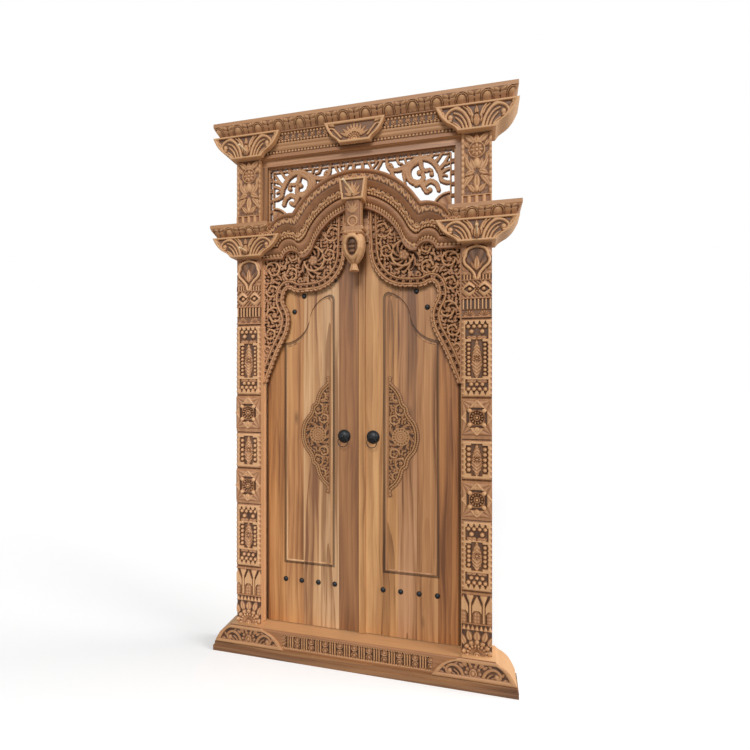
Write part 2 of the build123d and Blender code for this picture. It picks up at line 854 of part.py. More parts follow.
def arch_band(outer_share, inner_share):
    """Face between two of the arch's lines."""
    start, steps = arch_path(outer_share)
    return outline(start, *steps, *back_along(*arch_path(inner_share)), (start, 0))


def arch(bracket):
    """Half of the trefoil arch, stepping back from its rim to its inner edge, cut to fit its supports."""
    body = board(arch_band(0, 1), arch_back, arch_front)
    for step_share, front_share in zip(arch_step_shares, arch_front_shares):
        front = arch_front + arch_depth * front_share
        body -= board(arch_band(step_share, arch_past_edge_share), front, arch_front - overrun)
    lap = jamb_inner - cornice_inner_reach
    back = arch_back + overrun
    body -= slab(lap, jamb_outer, arch_front - overrun, back, bracket_top, cornice_top)
    return body - bracket


def keystone(arches):
    """Tapered block on the crown of the arch, fitted over its steps."""
    top, foot = keystone_width / 2, keystone_foot / 2

    def face(inset):
        low, high = keystone_bottom + inset, keystone_top - inset
        return [(inset - foot, low), (inset - top, high), (top - inset, high), (foot - inset, low)]

    block = board(face(0), arch_back, keystone_front)
    ground = keystone_front + keystone_sink
    block -= board(face(keystone_rim), ground, keystone_front - overrun)
    root = (0, keystone_bottom + keystone_rim)
    reach = keystone_height - 2 * keystone_rim
    for turn_share in keystone_leaf_turn_shares:
        tip = polar(root, reach * keystone_leaf_reach_share, 180 * turn_share)
        leaf = kite(root, tip, keystone_leaf_spread_share, leaf_waist_share)
        block += raised(leaf, ground, keystone_sink, leaf_peak_share)
    return block - arches


def pendant():
    """Square shank, ringed collar, lotus bud and tassel hanging under the keystone."""
    half = shank_width / 2
    front = keystone_front + keystone_sink
    back = arch_front + arch_depth * arch_front_shares[-1] - shank_gap
    axis = (front + back) / 2
    collar_top = keystone_bottom - shank_length
    body = slab(-half, half, front, back, collar_top, keystone_bottom)
    depth = (back - front) / 2 + shank_gap
    for i in range(collar_count):
        wide = collar_width / 2 * collar_narrow_share ** i
        z = collar_top - collar_height * i
        body += slab(-wide, wide, axis - depth, axis + depth, z - collar_height, z)
    bud_top = collar_top - collar_height * collar_count
    loops = []
    for fall_share, reach_share in bud_tier_shares:
        z = bud_top - bud_height * fall_share
        loops.append([(x, y, z) for x, y in ball((0, axis), bud_radius * reach_share, bud_sides)])
    return body + stack(loops)


def spandrel_place(u, v):
    """Point on a spandrel from shares of its width and of its drop below the jamb's top."""
    wide = jamb_inner - spandrel_inner
    return (spandrel_inner + wide * u, jamb_top - spandrel_drop * (1 - v))


def spandrel():
    """Pierced scroll board with a lobed lower edge and a raised rib along it."""
    crown, arch_steps = arch_path(spandrel_top_share)
    start = (spandrel_inner, crown[1])
    edge = [(spandrel_place(u, v), rise) for u, v, rise in spandrel_edge_shares]
    face = outline(start, *arch_steps, *edge, (start, 0))
    panel = board(face, spandrel_back, spandrel_front)
    shift = spandrel_ridge_width
    inner = [((x + shift, z + shift), rise) for (x, z), rise in edge]
    edge_start, inner_start = edge[0][0], inner[0][0]
    rib = outline(edge_start, *edge[1:], *back_along(inner_start, inner[1:]), (edge_start, 0))
    trim = board(face, spandrel_front + bite, spandrel_front - spandrel_ridge)
    panel += trim & board(rib, spandrel_front + bite, spandrel_front - spandrel_ridge)
    wide = jamb_inner - spandrel_inner
    holes = []
    for i, (u, v, r) in enumerate(spandrel_scroll_shares):
        holes += pinwheel(spandrel_place(u, v), wide * r, i)
    return panel - [board(hole, spandrel_back + overrun, spandrel_front - overrun) for hole in holes]


def upper_post():
    """Short carved post: rosette, calyx, drop and flutes."""
    ground = stock_front + carving_depth
    post = slab(jamb_inner, jamb_outer, ground, stock_back, cornice_top, post_top)
    rim = jamb_width * post_rim_share
    deep, shallow = carving_depth * high_relief_share, carving_depth * mid_relief_share

    def place(share):
        """Point on the post's middle line."""
        return (jamb_middle, cornice_top + upper_post_height * share)

    forms = [
        slab(jamb_inner, jamb_inner + rim, stock_front, ground + bite, cornice_top, post_top),
        slab(jamb_outer - rim, jamb_outer, stock_front, ground + bite, cornice_top, post_top),
    ]
    forms += rosette(place(post_rosette_share), jamb_width * post_rosette_radius_share, ground, deep)
    crest = kite(place(crest_foot_share), place(1), crest_spread_share)
    forms.append(raised(crest, ground, shallow, leaf_peak_share))
    waist = place(calyx_share)
    for reach_share, rise_share, spread_share in calyx_wing_shares:
        for side in (-1, 1):
            tip = (jamb_middle + side * jamb_width * reach_share, place(rise_share)[1])
            forms.append(raised(kite(waist, tip, spread_share), ground, shallow, leaf_peak_share))
    drop = kite(waist, place(drop_share), drop_spread_share, leaf_waist_share)
    forms.append(raised(drop, ground, deep, leaf_peak_share))
    foot = place(post_foot_share)[1]
    forms.append(slab(jamb_inner, jamb_outer, stock_front, ground + bite, cornice_top, foot))
    post += forms
    pitch = jamb_width / flute_count
    half = pitch * flute_width_share / 2
    hollow = stock_front + flute_depth
    for i in range(flute_count):
        x = jamb_inner + pitch * (i + 1 / 2)
        post -= slab(x - half, x + half, stock_front - overrun, hollow, cornice_top + rim, foot - rim)
    return post


def transom_fretwork():
    """Pierced scroll board of the transom, with slots along its border and fans in its lower corners."""
    half = jamb_inner - transom_stile_width
    high = post_top - transom_rail_height
    back = spandrel_back + fretwork_thickness
    panel = slab(-half, half, spandrel_back, back, cornice_top, high)
    tall = high - cornice_top
    holes = []
    for i, (u, v, r) in enumerate(transom_scroll_shares):
        centre = (half * u, cornice_top + tall * v)
        for hole in pinwheel(centre, tall * r, i):
            holes += [hole, [(-x, z) for x, z in hole]]
    count = int((half - slot_margin) / slot_pitch)
    for i in range(-count, count):
        middle = slot_pitch * (i + 1 / 2)
        holes.append(oblong((middle, high - slot_margin), slot_length, slot_height))
    for i in range(int((tall - slot_pitch) / slot_pitch)):
        middle = cornice_top + slot_pitch * (i + 1 / 2)
        for side in (-1, 1):
            holes.append(oblong((side * (half - slot_margin), middle), slot_height, slot_length))
    panel -= [board(hole, back + overrun, spandrel_back - overrun) for hole in holes]
    for side in (-1, 1):
        corner = (side * (half - 2 * slot_margin), cornice_top)
        near = (corner[0] - side * fan_disc_radius, cornice_top)
        top = (corner[0], cornice_top + fan_disc_radius)
        disc = outline(corner, (near, 0), (top, side * quarter_rise_share), (corner, 0))
        panel += board(disc, spandrel_back + bite, spandrel_back - fan_disc_relief)
    return panel


def transom_frame():
    """Plain stiles and top rail round the fretwork."""
    front = stock_front + transom_setback
    back = front + transom_frame_thickness
    high = post_top - transom_rail_height
    inner = jamb_inner - transom_stile_width
    pair("transom_stile", slab(inner, jamb_inner, front, back, cornice_top, high))
    nodes["transom_top_rail"] = slab(-jamb_inner, jamb_inner, front, back, high, post_top)


def frieze_beam():
    """Beam between the upper capitals, with a long cove and bead rows."""
    front = upper_bracket_front + flange_thickness
    low, high = post_top, crown_bottom
    cove_low, cove_high = [low + (high - low) * share for share in frieze_cove_shares]
    lip = front + frieze_lip
    profile = outline(
        (stock_back, low), ((lip, low), 0), ((lip, cove_low), 0),
        ((front, cove_high), -frieze_cove_rise_share), ((front, high), 0),
        ((stock_back, high), 0), ((stock_back, low), 0),
    )
    return stack([[(x, y, z) for y, z in profile] for x in (-jamb_inner, jamb_inner)])


def centre_bracket():
    """Middle capital in front of the frieze beam."""
    foot = (-centre_bracket_foot / 2, centre_bracket_foot / 2)
    top = (-centre_bracket_width / 2, centre_bracket_width / 2)
    low = crown_bottom - centre_bracket_height
    back = upper_bracket_front + flange_thickness
    return capital(foot, top, low, crown_bottom, upper_bracket_front, back, 1)


def panel_face(inset):
    """Panel outline with a swan-neck top, drawn in by the groove's width."""
    inner = leaf_edge + panel_margin_inner + inset
    outer = leaf_edge + leaf_width - panel_margin_outer - inset
    low = leaf_bottom + panel_bottom + inset
    high = leaf_top - panel_top_gap - inset
    shoulder = leaf_top - panel_top_gap - panel_shoulder_drop - inset
    start_share, turn_share, fall_share = panel_swing_shares
    peak = (inner + (outer - inner) * start_share, high)
    turn = (inner + (outer - inner) * turn_share, high + (shoulder - high) * fall_share)
    corner = (inner, high - (peak[0] - inner))
    return outline(
        (inner, low), (corner, 0), (peak, panel_corner_rise_share), (turn, panel_rise_share),
        ((outer, shoulder), -panel_rise_share), ((outer, low), 0), ((inner, low), 0),
    )


def leaf_planks():
    """Five upright planks of the right leaf, grooved round the panel; the hinge plank carries the pins."""
    ground = leaf_front + panel_groove_depth
    groove = board(panel_face(0), ground, leaf_front - overrun)
    groove -= board(panel_face(panel_groove_width), ground + bite, leaf_front - 2 * overrun)
    edges = [leaf_edge + leaf_width * share for share in plank_edge_shares]
    names = ("meeting", "inner", "middle", "outer")
    for name, x0, x1 in zip(names, edges, edges[1:]):
        plank = slab(x0, x1, leaf_front, leaf_back, leaf_bottom, leaf_top)
        pair("leaf_" + name + "_plank", plank - groove)
    seam = edges[-2]
    round_end = ((pivot_x, leaf_back), -1 / 2)
    nose = outline((pivot_x, leaf_front), round_end, ((seam, leaf_back), 0), ((seam, leaf_front), 0))
    heel = stack([[(x, y, z) for x, y in nose] for z in (leaf_bottom, leaf_top)])
    heel += pin_column(pin_radius, leaf_bottom - pin_length, leaf_bottom + bite)
    heel += pin_column(pin_radius, leaf_top - bite, leaf_top + pin_length)
    pair("leaf_hinge_plank", heel - groove)


def ledges():
    """Two boards across the back of each leaf."""
    x0 = leaf_edge + ledge_end_gap
    x1 = pivot_x - ledge_end_gap
    back = leaf_back + ledge_thickness
    places = {
        "lower": (lower_ledge_z, lower_ledge_height / 2),
        "upper": (upper_ledge_z, upper_ledge_height / 2),
    }
    for name, (middle, half) in places.items():
        pair("leaf_" + name + "_ledge", slab(x0, x1, leaf_back, back, middle - half, middle + half))


def studs():
    """Iron nail heads on a leaf: a row over the lower ledge and a swept row over the upper one."""
    places = [(leaf_edge + leaf_width * share, lower_ledge_z) for share in lower_stud_shares]
    low = upper_ledge_z - upper_stud_range / 2
    for u, v in upper_stud_shares:
        places.append((leaf_edge + leaf_width * u, low + upper_stud_range * v))
    heads = []
    for place in places:
        foot = ball(place, stud_radius, stud_sides)
        heads.append(raised(foot, leaf_front - bite, stud_height - bite, stud_peak_share))
    return Compound(children=heads)


def medallion():
    """Half lotus medallion: scalloped outer edge, flat inner side, sunk scrolls and a rosette."""
    flat = leaf_edge + medallion_inset
    middle = pull_z + medallion_lift

    def place(u, v):
        """Point from shares of the width and of half the height."""
        return (flat + medallion_width * u, middle + medallion_height / 2 * v)

    rim = outline(place(0, 1), *[(place(u, v), rise) for u, v, rise in medallion_edge_shares])
    front = leaf_front - medallion_thickness
    plate = board(rim, leaf_front, front)
    pockets = []
    for i, (u, v, r) in enumerate(medallion_scroll_shares):
        pockets += pinwheel(place(u, v), medallion_width * r, i)
    return plate - [board(pocket, front + medallion_sink, front - overrun) for pocket in pockets]


def ring_pull():
    """Domed boss, staple and hanging ring of one leaf."""
    x, z = leaf_edge + pull_inset, pull_z
    loops = []
    for rise_share, reach_share in boss_tier_shares:
        y = leaf_front - boss_height * rise_share
        loops.append([(a, y, b) for a, b in ball((x, z), boss_radius * reach_share, boss_sides)])
    pair("pull_boss", stack(loops))
    seat = leaf_front - boss_height
    eye_y = seat - staple_reach
    left, right = x - staple_width / 2, x + staple_width / 2
    plate = ball((eye_y, z), staple_radius, staple_sides)
    lug = stack([[(left, y, b) for y, b in plate], [(right, y, b) for y, b in plate]])
    lug += slab(left, right, eye_y, seat, z - staple_radius / 2, z + staple_radius / 2)
    eye = ring_wire + ring_clearance
    lug -= slab(left - overrun, right + overrun, eye_y - eye, eye_y + eye, z - eye, z + eye)
    pair("pull_staple", lug)
    corner = ring_wire / math.cos(math.pi / ring_wire_sides)
    section = []
    for i in range(ring_wire_sides):
        section.append(polar((ring_radius, eye_y), corner, 360 * (i + 1 / 2) / ring_wire_sides))
    spread = 1 / math.cos(math.pi / ring_sides)
    loops = []
    for i in range(ring_sides):
        loop = []
        for radius, y in section:
            a, b = polar((x, z - ring_radius), radius * spread, 90 + 360 * (i + 1 / 2) / ring_sides)
            loop.append((a, y, b))
        loops.append(loop)
    pair("pull_ring", hoop(loops))


def peg(x, z, front, length, radius):
    """Long flat-sided peg seated in a capital."""
    return board(ball((x, z), radius, peg_sides), front + peg_seat, front - length)


def add_pegs():
    """Seat the standing pegs and bore their holes."""
    mid_z = jamb_top + mid_bracket_height * peg_height_share
    upper_z = post_top + upper_bracket_height * peg_height_share
    keystone_z = keystone_bottom + keystone_height * peg_height_share
    places = {
        "keystone": (0, keystone_z, keystone_front, keystone_peg_length),
        "left_upper_bracket": (-jamb_middle, upper_z, upper_bracket_front, upper_peg_length),
        "left_mid_bracket": (-jamb_middle, mid_z, bracket_front, left_peg_length),
        "right_mid_bracket": (jamb_middle, mid_z, bracket_front, right_peg_length),
    }
    pegs = []
    for carrier, (x, z, front, length) in places.items():
        front += bracket_sink
        nodes[carrier] -= peg(x, z, front, length, peg_radius + peg_clearance)
        pegs.append(peg(x, z, front, length, peg_radius))
    nodes["assembly_pegs"] = Compound(children=pegs)


# Base
nodes["base_plinth"] = base_plinth()
nodes["sill_beam"] = sill_beam()
pair("base_block", base_block())

# Posts, capitals and cornices
pair("jamb", jamb())
pair("mid_bracket", jamb_capital(jamb_top, bracket_top, bracket_front))
pair("mid_cornice", mid_cornice())
pair("upper_post", upper_post())
pair("upper_bracket", jamb_capital(post_top, crown_bottom, upper_bracket_front))
nodes["centre_bracket"] = centre_bracket()
nodes["frieze_beam"] = frieze_beam()
nodes["crown_cornice"] = crown_cornice()

# Arch, its keystone and what it frames
nodes["head_rail"] = head_rail()
pair("arch", arch(nodes["right_mid_bracket"]))
nodes["keystone"] = keystone([nodes["left_arch"], nodes["right_arch"]])
nodes["pendant"] = pendant()
pair("spandrel", spandrel())
transom_frame()
nodes["transom_fretwork"] = transom_fretwork()
add_pegs()

# Leaves and their iron
leaf_planks()
ledges()
pair("leaf_studs", studs())
pair("medallion", medallion())
ring_pull()
strip_front = leaf_front - strip_thickness
strip_edge = leaf_edge + strip_width
nodes["meeting_strip"] = slab(leaf_edge, strip_edge, strip_front, leaf_front, leaf_bottom, leaf_top)

os.makedirs("parts", exist_ok=True)
for name, solid in nodes.items():
    export_step(solid, "parts/" + name + ".step")
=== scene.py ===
"""Carved teak double door in its frame: carving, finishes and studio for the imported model."""
import math

import bpy
import numpy as np
from bpy.props import FloatProperty, FloatVectorProperty, IntProperty, PointerProperty
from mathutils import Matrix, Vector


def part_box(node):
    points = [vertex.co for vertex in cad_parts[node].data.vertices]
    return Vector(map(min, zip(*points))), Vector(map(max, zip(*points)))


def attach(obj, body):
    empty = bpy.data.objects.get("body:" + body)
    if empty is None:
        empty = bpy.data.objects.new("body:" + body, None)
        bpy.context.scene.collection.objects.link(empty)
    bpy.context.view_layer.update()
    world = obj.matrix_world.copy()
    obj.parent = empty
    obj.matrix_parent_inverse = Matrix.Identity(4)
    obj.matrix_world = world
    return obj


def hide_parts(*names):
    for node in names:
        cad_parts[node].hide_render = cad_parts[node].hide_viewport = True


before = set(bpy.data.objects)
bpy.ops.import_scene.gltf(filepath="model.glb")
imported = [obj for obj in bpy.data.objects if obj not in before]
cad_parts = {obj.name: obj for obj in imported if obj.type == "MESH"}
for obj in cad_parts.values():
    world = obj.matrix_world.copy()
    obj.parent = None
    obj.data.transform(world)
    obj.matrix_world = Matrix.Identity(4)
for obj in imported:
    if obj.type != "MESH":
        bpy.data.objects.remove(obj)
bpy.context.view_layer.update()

bl_info = {
    "name": "Carved Teak Door",
    "version": (1, 0, 0),
    "blender": (4, 5, 0),
    "location": "View3D > Sidebar > Door",
    "description": "Carves and finishes a teak double door in its frame",
    "category": "Object",
}

MM = 0.001
SIDES = ((1, "right"), (-1, "left"))

# Lines of the door in millimetres. Across it: a jamb's sides and middle, a leaf's first edge and width
JAMB_INNER, JAMB_MIDDLE, JAMB_OUTER = 503.0, 570.0, 637.0
LEAF_EDGE, LEAF_WIDTH = 2.0, 498.0
# From front to back: ground of the posts' carving, back of the arch and of the spandrels, leaves' face, frame's back
POST_GROUND, ARCH_BACK, SPANDREL_BACK, LEAF_FACE, FRAME_BACK = -39.0, -20.0, -4.0, 10.0, 50.0


def srgb(code):
    """Linear colour with alpha from an sRGB hex code."""
    parts = [int(code[i:i + 2], 16) / 255 for i in (1, 3, 5)]
    return tuple(c / 12.92 if c <= 0.04045 else ((c + 0.055) / 1.055) ** 2.4 for c in parts) + (1.0,)


class DoorSizes(bpy.types.PropertyGroup):
    """Sizes of the carving, in metres."""
    pitch: FloatProperty(name="Carving step", description="Spacing of the carved grids", default=0.0026, unit="LENGTH")
    jamb_bead: FloatProperty(name="Jamb bead", description="Largest radius of the jambs' beads", default=0.0108,
                             unit="LENGTH")
    arch_bead: FloatProperty(name="Arch bead", description="Spacing of the arch's beads", default=0.0155, unit="LENGTH")
    shell_pitch: FloatProperty(name="Shell spacing", description="Spacing of the cornice shells", default=0.112,
                               unit="LENGTH")
    petals: IntProperty(name="Rosette petals", description="Petals of the jambs' rosettes", default=12, min=5, max=24)


COLOUR = {"size": 4, "subtype": "COLOR", "min": 0, "max": 1}


class DoorColours(bpy.types.PropertyGroup):
    """Colours of the finishes."""
    # Crest and recess are partly the wood's wear and stain and partly painted highlight and painted shade of the
    # carving
    crest: FloatVectorProperty(name="Crest", description="Wood on the carving's high points", default=srgb("#D09F6F"),
                               **COLOUR)
    flank: FloatVectorProperty(name="Flank", description="Wood on the carving's slopes", default=srgb("#A37049"),
                               **COLOUR)
    recess: FloatVectorProperty(name="Recess", description="Stained ground of the carving", default=srgb("#482C19"),
                                **COLOUR)
    iron: FloatVectorProperty(name="Iron", description="Blackened iron", default=srgb("#242628"), **COLOUR)


def sizes():
    """The carving sizes of the scene."""
    return bpy.context.scene.door_sizes


def colours():
    """The finish colours of the scene."""
    return bpy.context.scene.door_colours


# Materials

def add(tree, kind, inputs=None, **settings):
    """Add a node, set its fields, and set or link its sockets. A node given as a value stands for its first output."""
    node = tree.nodes.new(kind)
    for key, value in settings.items():
        setattr(node, key, value)
    for key, value in (inputs or {}).items():
        if isinstance(value, bpy.types.Node):
            value = value.outputs[0]
        if isinstance(value, bpy.types.NodeSocket):
            tree.links.new(value, node.inputs[key])
        else:
            node.inputs[key].default_value = value
    return node


def ramp_stops(node, *stops):
    """Set the stops of a colour ramp."""
    while len(node.color_ramp.elements) < len(stops):
        node.color_ramp.elements.new(0.5)
    for element, (place, colour) in zip(node.color_ramp.elements, stops):
        element.position = place
        element.color = colour


def new_material(name):
    """Empty node material."""
    material = bpy.data.materials.new(name)
    material.use_nodes = True
    material.node_tree.nodes.clear()
    return material, material.node_tree


def grain_space(tree, along, shift):
    """Object coordinates turned so that the grain runs along the last axis, moved by a shift."""
    place = add(tree, "ShaderNodeTexCoord")
    turn = {"Z": (0, 0, 0), "X": (0, math.pi / 2, 0)}[along]
    return add(tree, "ShaderNodeMapping", {"Vector": place.outputs["Object"], "Rotation": turn, "Location": shift})


def oiled(tree, colour, pore, strength, depth, rough):
    """Oiled surface of a colour: its pores stand out as bumps and are rougher than the wood between them."""
    bump = add(tree, "ShaderNodeBump", {"Height": pore, "Strength": strength, "Distance": depth})
    rough = add(tree, "ShaderNodeMath", {0: pore, 1: 0.15, 2: rough}, operation="MULTIPLY_ADD")
    shader = add(tree, "ShaderNodeBsdfPrincipled", {
        "Base Color": colour, "Roughness": rough, "Normal": bump, "IOR": 1.5})
    add(tree, "ShaderNodeOutputMaterial", {"Surface": shader})


def carved_teak(name, along="Z", shift=(0, 0, 0), lift=1.0):
    """Hand-carved teak, oiled: pale crests and dark recesses, partly rubbed wear and stain and partly painted highlight
    and painted shade, with fine straight grain.

    The relief attribute, 0 in the ground and 1 on the crests, drives the colour."""
    material, tree = new_material(name)
    space = grain_space(tree, along, shift)
    # Streaks 14 mm across and 0.3 m long, and pores drawn coarser than life at 2.5 mm so that they show
    stretch = add(tree, "ShaderNodeMapping", {"Vector": space, "Scale": (1 / 0.014, 1 / 0.014, 1 / 0.3)})
    streak = add(tree, "ShaderNodeTexNoise", {"Vector": stretch, "Scale": 1.0, "Detail": 4.0, "Roughness": 0.6})
    pores = add(tree, "ShaderNodeMapping", {"Vector": space, "Scale": (1 / 0.0025, 1 / 0.0025, 1 / 0.05)})
    pore = add(tree, "ShaderNodeTexNoise", {"Vector": pores, "Scale": 1.0, "Detail": 2.0})
    depth = add(tree, "ShaderNodeAttribute", attribute_name="relief")
    tone = add(tree, "ShaderNodeMath", {0: streak.outputs["Fac"], 1: 0.5}, operation="SUBTRACT")
    tone = add(tree, "ShaderNodeMath", {0: tone, 1: 0.5, 2: depth.outputs["Fac"]}, operation="MULTIPLY_ADD")
    shade = colours()
    # The ramp paints shade into the ground and light on the crests, over the wood's own stain and wear
    ramp = add(tree, "ShaderNodeValToRGB", {"Fac": tone})
    ramp_stops(ramp, (0.02, shade.recess), (0.5, shade.flank), (0.95, shade.crest))
    pale = add(tree, "ShaderNodeHueSaturation", {"Color": ramp, "Value": lift, "Saturation": 1.2 - 0.2 * lift})
    dusk = add(tree, "ShaderNodeMath", {0: pore.outputs["Fac"], 1: 0.22, 2: 0.88}, operation="MULTIPLY_ADD")
    colour = add(tree, "ShaderNodeVectorMath", {0: pale, 1: dusk}, operation="MULTIPLY")
    oiled(tree, colour, pore.outputs["Fac"], 0.25, 0.001, 0.5)
    return material


def sawn_teak(name, pale, mid, dark, along="Z", shift=(0, 0, 0), heart=None, tongues=0.0):
    """Planed teak board, oiled: straight grain with cathedral rings, heartwood streaks, pores and a few knots make it
    a warm, softly shining plank; seams and grooves behind its face get painted shade."""
    material, tree = new_material(name)
    space = grain_space(tree, along, shift)
    # Rings some 30 mm apart across the board, drawn out along it and bent by a slow drift
    ring = 0.03
    sway = add(tree, "ShaderNodeMapping", {"Vector": space, "Scale": (6.0, 6.0, 0.8)})
    drift = add(tree, "ShaderNodeTexNoise", {"Vector": sway, "Scale": 1.6, "Detail": 2.0})
    push = add(tree, "ShaderNodeVectorMath", {0: drift.outputs["Color"], 1: (0.5, 0.5, 0.5)}, operation="SUBTRACT")
    push = add(tree, "ShaderNodeVectorMath", {0: push, "Scale": 0.07}, operation="SCALE")
    bent = add(tree, "ShaderNodeVectorMath", {0: space, 1: push}, operation="ADD")
    slope = add(tree, "ShaderNodeMapping", {"Vector": bent, "Scale": (1 / ring, 1 / ring, 0.05 / ring)})
    rings = add(tree, "ShaderNodeTexWave", {"Vector": slope, "Scale": 0.32, "Distortion": 1.2, "Detail": 2.0,
                                            "Detail Scale": 1.2},
                wave_type="BANDS", bands_direction="X", wave_profile="SAW")
    bands = add(tree, "ShaderNodeMapping", {"Vector": bent, "Scale": (1 / 0.06, 1 / 0.06, 1 / 1.1)})
    band = add(tree, "ShaderNodeTexNoise", {"Vector": bands, "Scale": 1.0, "Detail": 3.0})
    fine = add(tree, "ShaderNodeMapping", {"Vector": space, "Scale": (1 / 0.003, 1 / 0.003, 1 / 0.12)})
    pore = add(tree, "ShaderNodeTexNoise", {"Vector": fine, "Scale": 1.0, "Detail": 3.0})
    mix = add(tree, "ShaderNodeMath", {0: rings.outputs["Fac"], 1: 0.13, 2: band.outputs["Fac"]},
              operation="MULTIPLY_ADD")
    mix = add(tree, "ShaderNodeMath", {0: pore.outputs["Fac"], 1: 0.16, 2: mix}, operation="MULTIPLY_ADD")
    if heart is not None:
        # Tongues of darker heartwood along the board's middle: about 0.1 m wide, one over the other every 1.1 m
        parts = add(tree, "ShaderNodeSeparateXYZ", {0: bent})
        away = add(tree, "ShaderNodeMath", {0: parts.outputs["X"], 1: heart + shift[0]}, operation="SUBTRACT")
        away = add(tree, "ShaderNodeMath", {0: away, 1: 1 / 0.05}, operation="MULTIPLY")
        bow = add(tree, "ShaderNodeMath", {0: away, 1: away}, operation="MULTIPLY")
        climb = add(tree, "ShaderNodeMath", {0: parts.outputs["Z"], 1: 1 / 1.1, 2: bow}, operation="MULTIPLY_ADD")
        climb = add(tree, "ShaderNodeMath", {0: climb}, operation="FRACT")
        tongue = add(tree, "ShaderNodeMapRange", {"Value": climb, "From Min": 0.6, "From Max": 0.97})
        narrow = add(tree, "ShaderNodeMapRange", {"Value": bow, "From Min": 1.1, "From Max": 0.5})
        tongue = add(tree, "ShaderNodeMath", {0: tongue, 1: narrow}, operation="MULTIPLY")
        mix = add(tree, "ShaderNodeMath", {0: tongue, 1: tongues, 2: mix}, operation="MULTIPLY_ADD")
    ramp = add(tree, "ShaderNodeValToRGB", {"Fac": mix})
    ramp_stops(ramp, (0.47, pale), (0.65, mid), (0.84, dark))
    # A knot every half metre or so
    spots = add(tree, "ShaderNodeMapping", {"Vector": space, "Scale": (7.0, 7.0, 2.2)})
    knot = add(tree, "ShaderNodeTexVoronoi", {"Vector": spots, "Scale": 1.0})
    ring_dark = add(tree, "ShaderNodeMapRange", {"Value": knot.outputs["Distance"], "From Min": 0.02, "From Max": 0.1,
                                                 "To Min": 0.5, "To Max": 1.0})
    colour = add(tree, "ShaderNodeVectorMath", {0: ramp, 1: ring_dark}, operation="MULTIPLY")
    # The leaves' face lies 10 mm behind the frame's middle; from there to 20 mm lie grooves and seams, which get
    # painted shade
    place = add(tree, "ShaderNodeSeparateXYZ", {0: add(tree, "ShaderNodeTexCoord").outputs["Object"]})
    deep = add(tree, "ShaderNodeMapRange", {"Value": place.outputs["Y"], "From Min": 0.0102, "From Max": 0.0115})
    near = add(tree, "ShaderNodeMapRange", {"Value": place.outputs["Y"], "From Min": 0.03, "From Max": 0.02})
    painted_groove_shade = add(tree, "ShaderNodeMath", {0: deep, 1: near}, operation="MULTIPLY")
    painted_groove_shade = add(tree, "ShaderNodeMath", {0: painted_groove_shade, 1: -0.62, 2: 1.0}, operation="MULTIPLY_ADD")
    colour = add(tree, "ShaderNodeVectorMath", {0: colour, 1: painted_groove_shade}, operation="MULTIPLY")
    oiled(tree, colour, pore.outputs["Fac"], 0.2, 0.0008, 0.42)
    return material


def black_iron(name):
    """Forged iron, blackened and waxed: near black, softly shining, with hammer marks 6 mm wide."""
    material, tree = new_material(name)
    place = add(tree, "ShaderNodeTexCoord")
    marks = add(tree, "ShaderNodeTexNoise", {"Vector": place.outputs["Object"], "Scale": 1 / 0.006, "Detail": 3.0})
    rust = add(tree, "ShaderNodeTexNoise", {"Vector": place.outputs["Object"], "Scale": 1 / 0.02, "Detail": 4.0})
    ramp = add(tree, "ShaderNodeValToRGB", {"Fac": rust.outputs["Fac"]})
    ramp_stops(ramp, (0.4, colours().iron), (0.62, colours().iron), (0.8, srgb("#3A322B")))
    bump = add(tree, "ShaderNodeBump", {"Height": marks.outputs["Fac"], "Strength": 0.3, "Distance": 0.001})
    rough = add(tree, "ShaderNodeMath", {0: marks.outputs["Fac"], 1: 0.3, 2: 0.3}, operation="MULTIPLY_ADD")
    shader = add(tree, "ShaderNodeBsdfPrincipled", {
        "Base Color": ramp, "Metallic": 0.6, "Roughness": rough, "Normal": bump})
    add(tree, "ShaderNodeOutputMaterial", {"Surface": shader})
    return material


def finish(name, maker, *args, **options):
    """A material by name, made once."""
    return bpy.data.materials.get(name) or maker(name, *args, **options)


def upright(side=1):
    """Carved teak with upright grain; the left jamb and spandrel are painted paler, painted light for the stronger
    light on the left.
    """
    if side < 0:
        return finish("oiled_carved_teak_upright_pale", carved_teak, lift=1.18)
    return finish("oiled_carved_teak_upright", carved_teak)


def level():
    """Carved teak with level grain."""
    return finish("oiled_carved_teak_level", carved_teak, along="X", shift=(0.3, 0.1, 0.2))


def timber(node, material):
    """Place of a carved piece of the frame: it rides on the frame and stands for a node."""
    return {"body": "frame", "material": material, "slot": "carved_teak", "nodes": [node]}


def clothe(node, material):
    """Give a CAD node one material."""
    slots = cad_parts[node].data.materials
    slots.clear()
    slots.append(material)


# Meshes from arrays

def box_mm(node):
    """Lowest and highest corner of a CAD node, in millimetres."""
    low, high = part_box(node)
    return np.array(low) / MM, np.array(high) / MM


def span(a, b, pitch=None):
    """Even steps from a to b, about a pitch apart."""
    pitch = pitch or sizes().pitch / MM
    return np.linspace(a, b, max(2, int(round(abs(b - a) / pitch)) + 1))


def levels(node, pitch=None):
    """Corners of a CAD node, even heights from its foot to its top, and their shares of the way up."""
    low, high = box_mm(node)
    heights = span(low[2], high[2], pitch)
    return low, high, heights, (heights - low[2]) / (high[2] - low[2])


